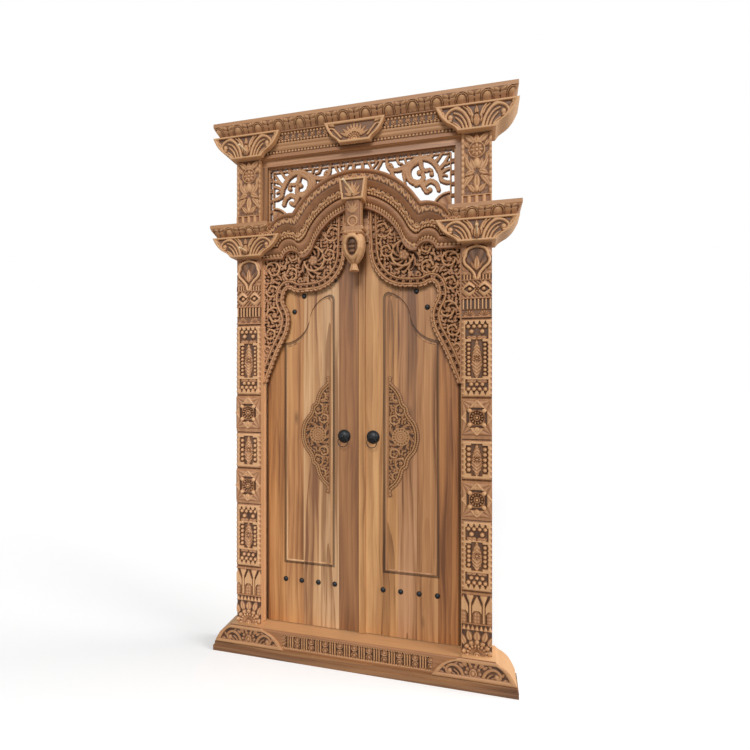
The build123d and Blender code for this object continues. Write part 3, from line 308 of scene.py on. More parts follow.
def put(name, points, quads, caps, relief, body, material, slot, nodes, sharp=40.0):
    """Mesh from points in millimetres, four-sided faces and flat caps; it rides on a body and stands for nodes."""
    loops = np.concatenate([np.asarray(quads).ravel()] + [np.asarray(cap).ravel() for cap in caps])
    counts = np.concatenate([np.full(len(quads), 4), [len(cap) for cap in caps]])
    starts = np.concatenate([[0], np.cumsum(counts)[:-1]])
    mesh = bpy.data.meshes.new(name)
    mesh.vertices.add(len(points))
    mesh.loops.add(len(loops))
    mesh.polygons.add(len(counts))
    mesh.vertices.foreach_set("co", (np.asarray(points, float) * MM).astype(np.float32).ravel())
    mesh.loops.foreach_set("vertex_index", loops.astype(np.int32))
    mesh.polygons.foreach_set("loop_start", starts.astype(np.int32))
    mesh.polygons.foreach_set("use_smooth", np.ones(len(counts), bool))
    mesh.update(calc_edges=True)
    if not len(quads) or mesh.validate():
        raise RuntimeError("The mesh of " + name + " is empty or broken")
    depth = mesh.attributes.new("relief", "FLOAT", "POINT")
    depth.data.foreach_set("value", np.clip(np.asarray(relief, float), 0, 1).astype(np.float32).ravel())
    mesh.set_sharp_from_angle(angle=math.radians(sharp))
    mesh.materials.append(material)
    piece = bpy.data.objects.new(name, mesh)
    bpy.context.scene.collection.objects.link(piece)
    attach(piece, body)
    if nodes:
        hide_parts(*nodes)
    return piece


def grid_quads(rows, columns, wrap=False):
    """Faces of a grid of points, row by row; wrap joins the last column to the first."""
    index = np.arange(rows * columns).reshape(rows, columns)
    if wrap:
        index = np.concatenate([index, index[:, :1]], axis=1)
    return np.stack([index[:-1, :-1], index[:-1, 1:], index[1:, 1:], index[1:, :-1]], -1).reshape(-1, 4)


def loop_quads(rows, columns):
    """Faces of a grid of points that closes on itself both ways."""
    index = np.arange(rows * columns).reshape(rows, columns)
    on = np.roll(index, -1, 0)
    return np.stack([index, np.roll(index, -1, 1), np.roll(on, -1, 1), on], -1).reshape(-1, 4)


def wrapped(name, x, y, z, relief, side, **rest):
    """Block from a grid: each row runs round the plan from the back left over the front to the back right, and
    the rows climb. Flat faces close the top, the foot and the back. A side of -1 mirrors the block."""
    shape = np.broadcast_shapes(x.shape, y.shape, z.shape)
    x, y, z, relief = (np.broadcast_to(a, shape) for a in (x, y, z, relief))
    if side < 0:
        x, y, z, relief = -x[:, ::-1], y[:, ::-1], z[:, ::-1], relief[:, ::-1]
    rows, columns = shape
    index = np.arange(rows * columns).reshape(shape)
    caps = [index[-1], index[0, ::-1], np.concatenate([index[:, 0], index[::-1, -1]])]
    points = np.stack([x, y, z], -1).reshape(-1, 3)
    return put(name, points, grid_quads(rows, columns), caps, relief.ravel(), **rest)


def carved_block(name, left, right, heights, back, carve, side=1, lead=(), columns=None, **rest):
    """Upright block with a carved front: across each height the front runs from left to right, and carve(x, z)
    gives its depth and relief. lead holds extra columns (x, y) walked before the left side."""
    z = np.asarray(heights)[:, None]
    left, right = (np.asarray(e, float).reshape(-1, 1) + 0 * z for e in (left, right))
    width = float(np.max(right - left))
    across = span(0, 1, 1 / (columns or width / (sizes().pitch / MM)))[None]
    x = left + (right - left) * across
    y, relief = carve(x, np.broadcast_to(z, x.shape))
    # The sides and the back are coloured nearly as pale as the crests: painted light, which brightens lit sides such as
    # the jambs' inner faces
    plain = np.full(z.shape, 0.95)
    shoulder = min(float(y.max()) + 3, back - 1)
    walk = tuple(lead) or ((None, back), (None, shoulder))
    first = [(left if a is None else np.full(z.shape, a), np.full(z.shape, b)) for a, b in walk]
    last = [(right, np.full(z.shape, shoulder)), (right, np.full(z.shape, back))]
    x = np.concatenate([a for a, b in first] + [x] + [a for a, b in last], axis=1)
    y = np.concatenate([b for a, b in first] + [y] + [b for a, b in last], axis=1)
    relief = np.concatenate([plain for a in first] + [relief] + [plain for a in last], axis=1)
    return wrapped(name, x, y, z, relief, side, **rest)


def tube(name, points, relief, side, **rest):
    """Closed section carried along a path: rows follow the path, columns go round the section; ends are capped."""
    rows, columns = points.shape[:2]
    index = np.arange(rows * columns).reshape(rows, columns)
    quads = grid_quads(rows, columns, wrap=True)
    caps = [index[0, ::-1], index[-1]]
    points = points.reshape(-1, 3).copy()
    if side < 0:
        points[:, 0] *= -1
        quads = quads[:, ::-1]
        caps = [cap[::-1] for cap in caps]
    return put(name, points, quads, caps, np.asarray(relief).ravel(), **rest)


def turned(name, profile, centre, sides, **rest):
    """Surface of revolution: a profile of (way out to the front, radius) turned about a level line through a centre."""
    angle = np.linspace(0, 2 * np.pi, sides, endpoint=False)
    along, radius = profile[:, :1], profile[:, 1:]
    points = np.stack([radius * np.cos(angle), -along + 0 * angle, radius * np.sin(angle)], -1) + centre
    return tube(name, points, np.full(points.shape[:2], 0.8), 1, **rest)


def pierced(name, x, z, field, front, back, relief, side, **rest):
    """Fretwork board: cells of a grid where the field is positive are kept, their border is drawn to the field's
    zero line, and walls join the front to a flat back."""
    step = x[0, 1] - x[0, 0]
    centre = (field[:-1, :-1] + field[:-1, 1:] + field[1:, 1:] + field[1:, :-1]) / 4
    keep = centre > 0
    # Cells that touch by a corner only are joined by a third
    pinch = keep[:-1, :-1] & keep[1:, 1:] & ~keep[:-1, 1:] & ~keep[1:, :-1]
    keep[:-1, 1:] |= pinch
    pinch = keep[:-1, 1:] & keep[1:, :-1] & ~keep[:-1, :-1] & ~keep[1:, 1:]
    keep[:-1, :-1] |= pinch
    slope_z, slope_x = np.gradient(field, step)
    steep = np.maximum(slope_x ** 2 + slope_z ** 2, 1e-4)
    used = np.zeros(field.shape, int)
    for i in (0, 1):
        for j in (0, 1):
            used[i:field.shape[0] - 1 + i, j:field.shape[1] - 1 + j] += keep
    rim = (used > 0) & (used < 4)
    inner = np.zeros_like(rim)
    inner[1:-1, 1:-1] = True
    move = np.where(rim & inner, field / steep, 0)
    limit = 0.6 * step
    x = x - np.clip(move * slope_x, -limit, limit)
    z = z - np.clip(move * slope_z, -limit, limit)
    count = field.size
    cells = grid_quads(*field.shape).reshape(keep.shape + (4,))
    faces = cells[keep]
    low = np.pad(keep, 1)
    walls = []
    for shift, a, b in (((0, 1), 0, 1), ((1, 2), 1, 2), ((2, 1), 2, 3), ((1, 0), 3, 0)):
        beyond = low[shift[0]:shift[0] + keep.shape[0], shift[1]:shift[1] + keep.shape[1]]
        open_edge = keep & ~beyond
        cell = cells[open_edge]
        walls.append(np.stack([cell[:, b], cell[:, a], cell[:, a] + count, cell[:, b] + count], -1))
    quads = np.concatenate([faces, faces[:, ::-1] + count] + walls)
    points = np.concatenate([np.stack([x, front, z], -1).reshape(-1, 3),
                             np.stack([x, np.broadcast_to(back, x.shape), z], -1).reshape(-1, 3)])
    # The back is coloured darker than the crests: painted shade deep in the holes of the fretwork
    relief = np.concatenate([relief.ravel(), np.full(count, 0.3)])
    seen = np.zeros(2 * count, bool)
    seen[quads] = True
    renumber = np.cumsum(seen) - 1
    points, relief, quads = points[seen], relief[seen], renumber[quads]
    if side < 0:
        points[:, 0] *= -1
        quads = quads[:, ::-1]
    return put(name, points, quads, [], relief, **rest)


# Carver's motifs: heights from 0 to 1 over arrays of places in millimetres

def raised(h, lift, motif, x, z, rows):
    """Ground with a motif on it, lift high, once for each row of its measures."""
    for row in rows:
        h = np.maximum(h, lift * motif(x, z, *row))
    return h


def smooth_line(points, pitch=2.0):
    """Dense curve through points: cubic steps with slopes from the neighbours."""
    p = np.asarray(points, float)
    lead = np.concatenate([2 * p[:1] - p[1:2], p, 2 * p[-1:] - p[-2:-1]])
    out = []
    for a, b, c, d in zip(lead, lead[1:], lead[2:], lead[3:]):
        t = np.linspace(0, 1, max(2, int(np.hypot(*(c - b)) / pitch)), endpoint=False)[:, None]
        out.append(0.5 * (2 * b + (c - a) * t + (2 * a - 5 * b + 4 * c - d) * t ** 2
                          + (3 * b - a - 3 * c + d) * t ** 3))
    return np.concatenate(out + [p[-1:]])


def beside_line(x, z, line):
    """Signed distance of each place from a line, positive to its left, and the length along the line there."""
    flat = np.stack([x.ravel(), z.ravel()], 1)
    near = np.empty(len(flat), int)
    for start in range(0, len(flat), 20000):
        part = flat[start:start + 20000]
        near[start:start + 20000] = np.argmin((part[:, :1] - line[:, 0]) ** 2 + (part[:, 1:] - line[:, 1]) ** 2, 1)
    ahead = line[np.minimum(near + 1, len(line) - 1)] - line[np.maximum(near - 1, 0)]
    away = flat - line[near]
    size = np.hypot(*ahead.T)
    across = (ahead[:, 0] * away[:, 1] - ahead[:, 1] * away[:, 0]) / size
    length = np.concatenate([[0], np.cumsum(np.hypot(*np.diff(line, axis=0).T))])
    along = length[near] + (ahead * away).sum(1) / size
    return across.reshape(x.shape), along.reshape(x.shape)


def dome(distance, radius):
    """Bump: 1 at the middle, falling like a half circle to 0 at the radius."""
    return np.sqrt(np.clip(1 - (distance / radius) ** 2, 0, None))


def ease(value, low, high):
    """Smooth step from 0 at low to 1 at high."""
    t = np.clip((value - low) / (high - low), 0, 1)
    return t * t * (3 - 2 * t)


def beads(s, offset, pitch, radius):
    """Row of beads: domes a pitch apart along s, offset measured across the row."""
    along = (s / pitch % 1 - 0.5) * pitch
    return dome(np.hypot(along, offset), radius)


def leaf(x, z, foot, tip, width, bend=0.0, teeth=0):
    """Pointed leaf: the half width follows a sine of the way along, the blade is domed, with a groove for the
    midrib; bend bows it sideways and teeth notch its edge."""
    dx, dz = tip[0] - foot[0], tip[1] - foot[1]
    size = math.hypot(dx, dz)
    along = ((x - foot[0]) * dx + (z - foot[1]) * dz) / size ** 2
    across = ((z - foot[1]) * dx - (x - foot[0]) * dz) / size - bend * size * along * (1 - along)
    half = width / 2 * np.sin(np.pi * np.clip(along, 0, 1) ** 0.8)
    if teeth:
        half = half * (0.82 + 0.18 * np.abs(np.sin(np.pi * teeth * along)))
    blade = np.sqrt(np.clip(1 - (across / np.maximum(half, 0.01)) ** 2, 0, None)) * (half > 0.02)
    return blade * (1 - 0.4 * np.exp(-(across / (0.1 * width)) ** 2))


def flower(x, z, centre, radius, petals):
    """Rosette: the edge and height follow the cosine of the angle, with rings and a button in the middle."""
    r, a = np.hypot(x - centre[0], z - centre[1]), np.arctan2(z - centre[1], x - centre[0])
    lobe = np.abs(np.cos(petals * a / 2))
    blade = dome(r, radius * (0.8 + 0.2 * lobe)) * (0.35 + 0.65 * lobe ** 0.6)
    blade = np.where(r < 0.45 * radius, 0.55 * dome(r - 0.36 * radius, 0.12 * radius), blade)
    return np.maximum(blade, 0.9 * dome(r, 0.26 * radius))


def volute(x, z, centre, radius, hand):
    """Spiral ridge of 1.6 turns: height depends on the radius less the angle's share of a turn; a ball ends it."""
    r, a = np.hypot(x - centre[0], z - centre[1]), np.arctan2(z - centre[1], x - centre[0])
    phase = (r / radius * 1.6 - hand * a / (2 * np.pi)) % 1
    coil = dome(phase - 0.5, 0.42) * (r < radius) * (0.5 + 0.5 * r / radius)
    return np.maximum(coil, dome(r, radius * 0.3))


def petals(r, a, inner, outer, count, shift=0.0):
    """Ring of petals between two radii, a whole number to the turn: each is domed across and round at its tip."""
    phase = (a / (2 * np.pi) * count + shift) % 1 - 0.5
    along = np.clip((r - inner) / (outer - inner), 0, 1)
    half = 0.5 * np.sqrt(1 - along ** 4)
    blade = np.sqrt(np.clip(1 - (phase / np.maximum(half, 0.01)) ** 2, 0, None))
    return blade * (0.45 + 0.55 * along) * (r > inner) * (r < outer)


def stroke(x, z, points, wide, thin, vein=0.0, lobe=0.0):
    """Ridge along a smooth curve: domed across, from wide at the first point to thin at the last; a vein grooves
    its middle and lobes notch its edges every 11 mm."""
    line = smooth_line(points, 1.5)
    low, high = line.min(0) - max(wide, thin), line.max(0) + max(wide, thin)
    near = (x > low[0]) & (x < high[0]) & (z > low[1]) & (z < high[1])
    across, along = beside_line(x[near], z[near], line)
    total = np.hypot(*np.diff(line, axis=0).T).sum()
    share = np.clip(along / total, 0, 1)
    half = (wide + (thin - wide) * share) / 2 * (1 - lobe * np.abs(np.cos(np.pi * along / 11)))
    h = np.zeros(x.shape)
    h[near] = dome(np.hypot(across, along - share * total), half) * (1 - vein * np.exp(-(across / (0.3 * half)) ** 2))
    return h


# Jambs

def bead_panel(u, z, low, high, columns, slot, top=None, foot=None):
    """Panel with scalloped arrises and bevelled ends: columns of balls in dark slots either side of a feathered
    spindle with a rosette, and clusters of balls with leaves at the ends."""
    tall = high - low
    m, v = np.abs(u), (z - low) / tall
    h = 11 - 6 * dome((z / 25 % 1 - 0.5) * 25, 10.5) * ease(m, 54, 65)
    h = np.minimum(h, 1 + 10 * ease(np.minimum(z - low, high - z), 0, 16))
    first, last = low + tall * slot[0], low + tall * slot[1]
    middle = (first + last) / 2
    step = tall * (columns[0] - columns[-1]) / (len(columns) - 1)
    radius = min(sizes().jamb_bead / MM, 0.48 * step)
    wave = np.abs(np.cos(np.pi * (z - low - tall * columns[0]) / step))
    inside = (z > first) & (z < last)
    h = np.where(inside & (np.abs(m - 36) < 10 + 4 * wave), 0, h)
    spindle = leaf(u, z, (0, first - 14), (0, last + 14), 50, teeth=7)
    feather = 6.8 + 1.8 * np.cos(2 * np.pi * (np.abs(z - middle) + 0.9 * m) / 15) + 1.5 * dome(m, 9)
    h = np.where((z > first - 10) & (z < last + 10) & (m < 24), np.where(spindle > 0.12, feather, 2), h)
    balls = [(36, v0, radius) for v0 in columns]
    for rows, way in ((top, 1), (foot, -1)):
        if rows:
            edge, four, other, leaves = rows
            hollow = (v * way > min(leaves * way, edge * way)) & (v * way < four * way + 0.02) & (m < 50)
            h = np.where(hollow, 0.5, h)
            point = (way * (v - four)) * tall
            bay = (u + 50) % 25 - 12.5
            h = np.where((point > 0) & (np.abs(bay) < 10.5 * (1 - point / 26)) & (m < 50), 0, h)
            balls += [(12.5, four, 10.5), (37.5, four, 11)]
            balls += [(24, other, 12)] if way > 0 else [(0, other, 10), (25, other, 10.5)]
            for a in (10, 30):
                h = np.maximum(h, 9 * leaf(m, z, (a - 10, low + tall * leaves),
                                           (a + 18, low + tall * (leaves + 0.03 * way)), 22))
    for a, v0, r in balls:
        h = np.maximum(h, 11.5 * dome(np.hypot(m - a, z - low - tall * v0), r))
    r, a = np.hypot(u, z - middle), np.arctan2(z - middle, u)
    boss = np.maximum(10 * petals(r, a, 6.5, 15, 8), 11 * dome(r, 6))
    return np.where(r < 15, np.maximum(boss, 2), h)


def rosette_panel(u, z, low, high):
    """Proud block: corner fans outside a ridged diamond, a dark moat round a square with lobed corners, and a ringed
    rosette of petals."""
    w = z - (low + high) / 2
    m, n = np.abs(u), np.abs(w)
    tall = (high - low) / 2
    ridge = (m / 67 + n / tall - 1) * 48
    fan = np.abs(np.sin(6 * np.arctan2(tall - n, 67 - m)))
    h = np.where(ridge > 0, 12 + 3.5 * fan, 15.5 + 2 * np.abs(np.sin(m / 5) * np.sin(n / 5)))
    h = np.where(np.abs(ridge) < 4, 19 - 0.6 * np.abs(ridge), h)
    side, end = np.maximum(m, n), np.minimum(m, n)
    h = np.where((side < 45) & (side > 35), np.where(end < 33, np.where(m > n, 5, 8), h), h)
    h = np.where(side <= 35, 14, h)
    lobes = dome(np.hypot(m - 32, n - 32), 11)
    h = np.where(lobes > 0, np.maximum(h, 13 + 8 * lobes), h)
    tip = leaf(u, w, (0, -40), (0, 10 - tall), 24)
    h = np.where(tip > 0, 13 + 8 * tip, h)
    r, a = np.hypot(u, w), np.arctan2(w, u)
    h = np.where(r < 31, 6, h)
    h = np.where(r < 29, np.maximum(6, 20 * petals(r, a, 15, 29, sizes().petals)), h)
    h = np.where((r < 15.5) & (r > 9), 7 + 10 * dome(r - 12, 3), h)
    return np.where(r < 9, 7 + 12 * dome(r, 8), h)


def palmette(u, z, low, high):
    """Trefoil leaf: a thick domed rim rising from two stems round a dark ribbed hollow, a bud on a stem inside it,
    flutes at the foot and curling leaves in the corners."""
    tall = high - low
    m, w = np.abs(u), (z - low) / tall
    shares = ((5, 0.0), (12, 0.16), (30, 0.31), (51, 0.44), (57, 0.58), (50, 0.69), (48, 0.77), (38, 0.88), (18, 0.94),
              (0, 0.965))
    rim = [(a, low + b * tall) for a, b in shares]
    across = beside_line(m, z, smooth_line(rim))[0]
    ribs = np.abs(np.sin(6 * np.arctan2(u, 0.3 * tall - tall * w)))
    h = np.where((across > 0) & (w > 0.2), 0.5 + 3 * ribs, 5.0)
    h = np.maximum(h, np.where(np.abs(across) < 8, 12 * dome(across, 8), np.where(np.abs(across) < 10.5, 0, h)))
    h = np.where(np.abs(np.abs(across) - 9) < 1.6, 0.5, h)
    h = np.maximum(h, 11.5 * leaf(u, z, (0, low + 0.24 * tall), (0, low + 0.72 * tall), 28))
    h = np.maximum(h, 8 * leaf(m, z, (2, low + 0.28 * tall), (27, low + 0.56 * tall), 13, -0.3))
    h = np.where((w < 0.13) & (m > 15), 0.5 + 9 * dome((m + 7) % 14 - 7, 5), h)
    for foot, tip, wide in (((66, 0.64), (46, 0.98), 20), ((66, 0.18), (36, 0.2), 17), ((66, 0.32), (46, 0.28), 14)):
        h = np.maximum(h, 10 * leaf(m, z, (foot[0], low + foot[1] * tall), (tip[0], low + tip[1] * tall), wide, 0.3))
    return h


def eye_band(u, z, low, high):
    """Two broad lozenges with dark pointed eyes, each holding a ball, a small flower between and leaf strokes."""
    c, m = (low + high) / 2, np.abs(u)
    n = np.abs(z - c)
    ring = (np.abs(m - 33) / 34) ** 1.2 + (n / 36) ** 1.2
    h = np.where(ring < 1, 11.5 - 4 * ease(ring, 0.6, 1), 1 + 6 * np.abs(np.sin((u + z) / 6)))
    h = np.where((np.abs(m - 33) / 24) ** 1.1 + (n / 17) ** 1.1 < 1, 0, h)
    h = np.maximum(h, 12 * dome(np.hypot(m - 31, z - c), 10))
    r, a = np.hypot(u, z - c), np.arctan2(z - c, u)
    return np.where(r < 11, np.maximum(1, 11 * petals(r, a, 2.5, 11, 4, 0.5)), h)


def arcade(u, z, low, high):
    """Slender columns with flaring heads between gabled bays: a round-headed niche in each bay and dark wedges beside
    the heads."""
    tall = high - low
    w = z - low
    m = np.abs((u + 30) % 60 - 30)
    h = np.where(w > tall - 5 - m * 0.4 * tall / 24, 0, 9.5)
    flare = 5 + 12 * ease(w / tall, 0.66, 0.97)
    h = np.where(m > 30 - flare, 3 + 8 * dome(m - 30, flare + 1), h)
    h = np.where((np.abs(m - 23.2) < 1.8) & (w < 0.66 * tall), 0, h)
    r = np.hypot(m, np.maximum(w - 0.3 * tall, 0))
    h = np.where(np.abs(r - 17.5) < 1.9, 0, h)
    h = np.where(r < 15.6, 5 + 3 * np.abs(np.sin(u / 4) * np.sin(w / 5)), h)
    return np.minimum(h, 1 + 10 * ease(np.minimum(w, tall - w), 0, 4))


def lotus(u, z, low, high):
    """Half flower on the foot: rings of petals round a boss in the middle of the base, and broad leaves over it."""
    w = z - low
    r, a, m = np.hypot(u, w), np.arctan2(w, u), np.abs(u)
    h = np.full(u.shape, 0.5)
    h = raised(h, 9.5, leaf, m, w, (
        ((0, 62), (0, 112), 36), ((28, 60), (42, 112), 30), ((52, 40), (70, 92), 30)))
    h = np.where(r < 70, 0.5, h)
    for inner, outer, count, shift, lift in ((46, 68, 14, 0, 12), (31, 48, 18, 0.5, 11), (16, 33, 30, 0, 10)):
        h = np.where(r < outer, np.maximum(lift * petals(r, a, inner, outer, count, shift), 0.5), h)
    return np.where(r < 15, np.where(r < 8, 11 * dome(r, 8), 9 * dome(r - 11.5, 3.5)), h)


def jamb_face(x, z):
    """Depth of a jamb's face: registers of carving from the lotus at the foot to the palmette at the top. Each register
    is coloured from its own lowest to its own highest place."""
    low, high = box_mm("right_jamb")
    u, tall = x - JAMB_MIDDLE, high[2] - low[2]
    h, relief = np.full(x.shape, 9.0), np.full(x.shape, 0.55)

    def register(a, b, carve, ground, crest, *args):
        """Carve the register between two shares of the height."""
        bottom, top = low[2] + tall * a, low[2] + tall * b
        rows = ((z >= bottom) & (z < top)).any(axis=1)
        h[rows] = carve(u[rows], z[rows], bottom, top, *args)
        relief[rows] = ease(h[rows], ground, crest)

    register(0.0, 0.06, lotus, 0, 11)
    register(0.062, 0.075, lambda u, z, a, b: 0.5 + 9.5 * dome((u / 19.2 + 0.5) % 1 - 0.5,
                                                               0.46 * ease(b - z, 0, b - a) + 0.01), 0, 10)
    register(0.077, 0.147, arcade, 0, 11)
    register(0.152, 0.328, bead_panel, 0, 12.5, (0.624, 0.56, 0.495, 0.436, 0.372), (0.33, 0.67),
             (0.936, 0.872, 0.798, 0.716), (0.064, 0.133, 0.197, 0.275))
    register(0.336, 0.418, rosette_panel, 7, 21)
    register(0.422, 0.524, bead_panel, 0, 12.5, (0.755, 0.63, 0.504, 0.378, 0.259), (0.18, 0.84))
    register(0.534, 0.618, rosette_panel, 7, 21)
    register(0.622, 0.818, bead_panel, 0, 12.5, (0.667, 0.614, 0.562, 0.51, 0.459, 0.408, 0.357, 0.306), (0.282, 0.706),
             (0.957, 0.894, 0.831, 0.741), (0.07, 0.118, 0.176, 0.235))
    register(0.822, 0.838, lambda u, z, a, b: np.maximum(3.0, 10 * petals(
        np.hypot(np.abs(u) - 33, z - a), np.arctan2(z - a, np.abs(u) - 33), 8, 27, 14)), 0, 11)
    register(0.84, 0.865, lambda u, z, a, b: 10.5 * (np.abs((u + 67) % 16.75 - 8.4) < 4.4) * ease(b - z, 0, 4), 0, 12)
    register(0.868, 0.909, eye_band, 0, 12)
    register(0.912, 0.996, palmette, 0, 12)
    return POST_GROUND - h, relief * 0.92 + 0.05


class DOOR_OT_jambs(bpy.types.Operator):
    """Carve both jambs: flowers, arcades, bead panels and rosette blocks in registers."""
    bl_idname = "door.jambs"
    bl_label = "Jambs"

    def execute(self, context):
        low, high = box_mm("right_jamb")
        for side, word in SIDES:
            # The inner side carries a narrow stop bead before the leaf
            carved_block(word + "_jamb_carving", JAMB_INNER, JAMB_OUTER, span(low[2], high[2]), FRAME_BACK,
                         jamb_face, side,
                         lead=((None, FRAME_BACK), (None, 7), (497.5, 7), (497.5, -4), (None, -4), (None, -36)),
                         **timber(word + "_jamb", upright(side)))
        return {"FINISHED"}


# Upper posts

def post_face(x, z):
    """Rosette with leaves over it, an acanthus vase, a calyx with a drop, flutes at the foot and leafy edges."""
    low, high = box_mm("right_upper_post")
    tall = high[2] - low[2]
    u, w = x - JAMB_MIDDLE, z - low[2]
    m = np.abs(u)
    h = 1.5 + 2 * np.abs(np.sin(w / 7) * np.sin(m / 5))
    h = np.maximum(h, 9 * ease(m, 50, 58) * (0.6 + 0.4 * np.abs(np.sin(np.pi * w / 26))))
    h = np.maximum(h, 11 * flower(u, w, (0, 0.765 * tall), 33, 8) * (np.hypot(u, w - 0.765 * tall) < 33))
    h = np.maximum(h, 8 * dome(np.hypot(u, w - 0.765 * tall) - 35, 4))
    h = np.maximum(h, 10 * leaf(u, w, (0, 0.85 * tall), (0, 0.99 * tall), 30))
    for foot, tip, wide, bend in (
            ((10, 0.86), (60, 0.99), 34, 0.2), ((6, 0.5), (24, 0.66), 28, -0.4), ((36, 0.8), (62, 0.9), 22, 0.2),
            ((10, 0.46), (48, 0.7), 27, -0.45), ((8, 0.47), (54, 0.42), 30, 0.3), ((40, 0.62), (62, 0.76), 18, 0.2),
            ((14, 0.42), (56, 0.24), 27, 0.4), ((10, 0.18), (44, 0.3), 26, 0.3), ((30, 0.4), (60, 0.34), 18, 0.2)):
        h = np.maximum(h, 9.5 * leaf(m, w, (foot[0], foot[1] * tall), (tip[0], tip[1] * tall), wide, bend))
    h = np.maximum(h, 11 * dome(np.hypot(u / 17, (w - 0.585 * tall) / 26), 1))
    h = np.maximum(h, 10 * leaf(u, w, (0, 0.44 * tall), (0, 0.18 * tall), 34))
    h = np.maximum(h, 11 * dome(np.hypot(u / 11, (w - 0.235 * tall) / 20), 1))
    flutes = 2 + 8 * np.clip(2.2 * np.abs(np.sin(np.pi * (u + 67) / 33.5)) - 0.9, 0, 1)
    h = np.where(w < 0.15 * tall, np.where((w > 8) & (w < 0.135 * tall), 11 - flutes * 0.75 * (m < 60), 10.5), h)
    return POST_GROUND - h, ease(h, -1, 11) * 0.92 + 0.06


class DOOR_OT_upper_posts(bpy.types.Operator):
    """Carve the short posts beside the transom."""
    bl_idname = "door.upper_posts"
    bl_label = "Upper posts"

    def execute(self, context):
        low, high = box_mm("right_upper_post")
        for side, word in SIDES:
            carved_block(word + "_upper_post_carving", JAMB_INNER, JAMB_OUTER, span(low[2], high[2]), FRAME_BACK,
                         post_face, side, **timber(word + "_upper_post", upright()))
        return {"FINISHED"}


# Capitals

CAPITAL_EDGE = ((0, 0), (0.18, 0.175), (0.36, 0.49), (0.5, 0.66), (0.64, 0.785), (0.82, 0.9), (1, 1))
BLOCK_EDGE = ((0, 0), (0.2, 0.1), (0.37, 0.2), (0.5, 0.29), (0.6, 0.375), (0.72, 0.525), (0.814, 0.7), (0.87, 0.83),
              (0.95, 0.93), (1, 1))


def edge_curve(share, points):
    """Share of the way out at each share of the height, on a smooth curve through points."""
    line = smooth_line(points, 0.01)
    return np.interp(share, line[:, 0], line[:, 1])


def capital_face(x, z, left, right, low, high, front):
    """Capital's face: a rounded rim round a dark ground, a lotus bud with petals, fluted stems that arch outwards and
    curl into balls, and leaves in the corners."""
    sink, rim = 9.0, 10.0
    m, w = np.abs(x - JAMB_MIDDLE), (z - low) * 104 / (high - low)
    half = np.where(x < JAMB_MIDDLE, JAMB_MIDDLE - left, right - JAMB_MIDDLE)
    gap = np.minimum(np.minimum(z - low, high - z), (half - m) * 0.72)
    h = np.full(x.shape, 0.3)
    h = raised(h, 8.5, stroke, m, w, (
        (((27, 11), (37, 42), (60, 74), (90, 89), (119, 82), (137, 62), (130, 44), (114, 42)), 17, 13),
        (((43, 11), (54, 38), (75, 62), (100, 72)), 13, 9), (((58, 11), (70, 34), (92, 54)), 13, 9),
        (((74, 11), (86, 24), (102, 34)), 13, 8), (((18, 50), (26, 74), (42, 92)), 14, 8),
        (((28, 58), (40, 78), (58, 92)), 11, 7)))
    h = raised(h, 8, leaf, m, w, (
        ((98, 14), (126, 36), 20, 0.2), ((144, 56), (172, 90), 28, 0.25), ((150, 90), (176, 95), 14, 0),
        ((2, 14), (24, 64), 18, -0.3), ((0, 46), (0, 96), 20, 0), ((66, 88), (104, 95), 14, 0)))
    h = np.maximum(h, 9.5 * dome(np.hypot(m - 116, w - 56), 12.5))
    bud = np.hypot(m / 15, (w - 36) / 25)
    h = np.where(bud < 1.12, np.where(bud < 1, 3 + 6.5 * dome(bud, 1) * (0.75 + 0.25 * np.cos(m * 1.2)), 0.3), h)
    h = np.where(gap < rim, sink * (0.6 + 0.5 * dome(gap - rim * 0.45, rim * 0.62)), np.minimum(h, sink + 1))
    return front + sink - h, ease(h, -2, sink + 1) * 0.9 + 0.05


class DOOR_OT_capitals(bpy.types.Operator):
    """Carve the four jamb capitals and the middle one."""
    bl_idname = "door.capitals"
    bl_label = "Capitals"

    def execute(self, context):
        for node in ("mid_bracket", "upper_bracket"):
            low, high, heights, share = levels("right_" + node)
            way = edge_curve(share, CAPITAL_EDGE)
            left, right = 487 - 101 * way, 653 + 102 * way
            front = low[1]

            def carve(x, z):
                """The capital's face between its own edges."""
                return capital_face(x, z, left[:, None], right[:, None], low[2], high[2], front)

            for side, word in SIDES:
                carved_block(word + "_" + node + "_carving", left, right, heights, FRAME_BACK, carve, side,
                             lead=((JAMB_INNER, FRAME_BACK), (JAMB_INNER, front + 26), (None, front + 26)),
                             **timber(word + "_" + node, level()))
        low, high, heights, share = levels("centre_bracket")
        half = 75 + 75 * edge_curve(share, CAPITAL_EDGE)

        def fan(x, z):
            """Palmette fan over a half rosette."""
            gap = np.minimum(np.minimum(z - low[2], high[2] - z), (half[:, None] - np.abs(x)) * 0.8)
            m, w = np.abs(x), z - low[2]
            r, a = np.hypot(x, w - 11), np.arctan2(w - 11, x)
            h = np.full(x.shape, 0.3)
            for tip, wide in (((74, 50), 16), ((58, 70), 17), ((38, 84), 17), ((18, 92), 16), ((0, 94), 18)):
                h = np.maximum(h, 8.5 * leaf(m, w, (tip[0] * 0.3, 24), tip, wide, teeth=3))
            h = np.maximum(h, 8.5 * stroke(
                m, w, ((66, 26), (88, 52), (108, 72), (126, 70), (128, 56), (116, 54)), 12, 9))
            h = np.maximum(h, 8 * leaf(m, w, (96, 84), (136, 92), 15, 0.2))
            h = np.where(r < 34, np.maximum(0.3, 9 * petals(r, a, 19, 33, 18)), h)
            h = np.where(r < 18, np.where(r < 10, 9 * dome(r, 11), 8 * dome(r - 14, 4)), h)
            h = np.where(gap < 11, 9 * (0.55 + 0.55 * dome(gap - 5, 7)), h)
            return low[1] + 9 - h, ease(h, -3, 9) * 0.9 + 0.05

        carved_block("centre_bracket_carving", -half, half, heights, high[1], fan, **timber("centre_bracket", level()))
        return {"FINISHED"}


# Cornices

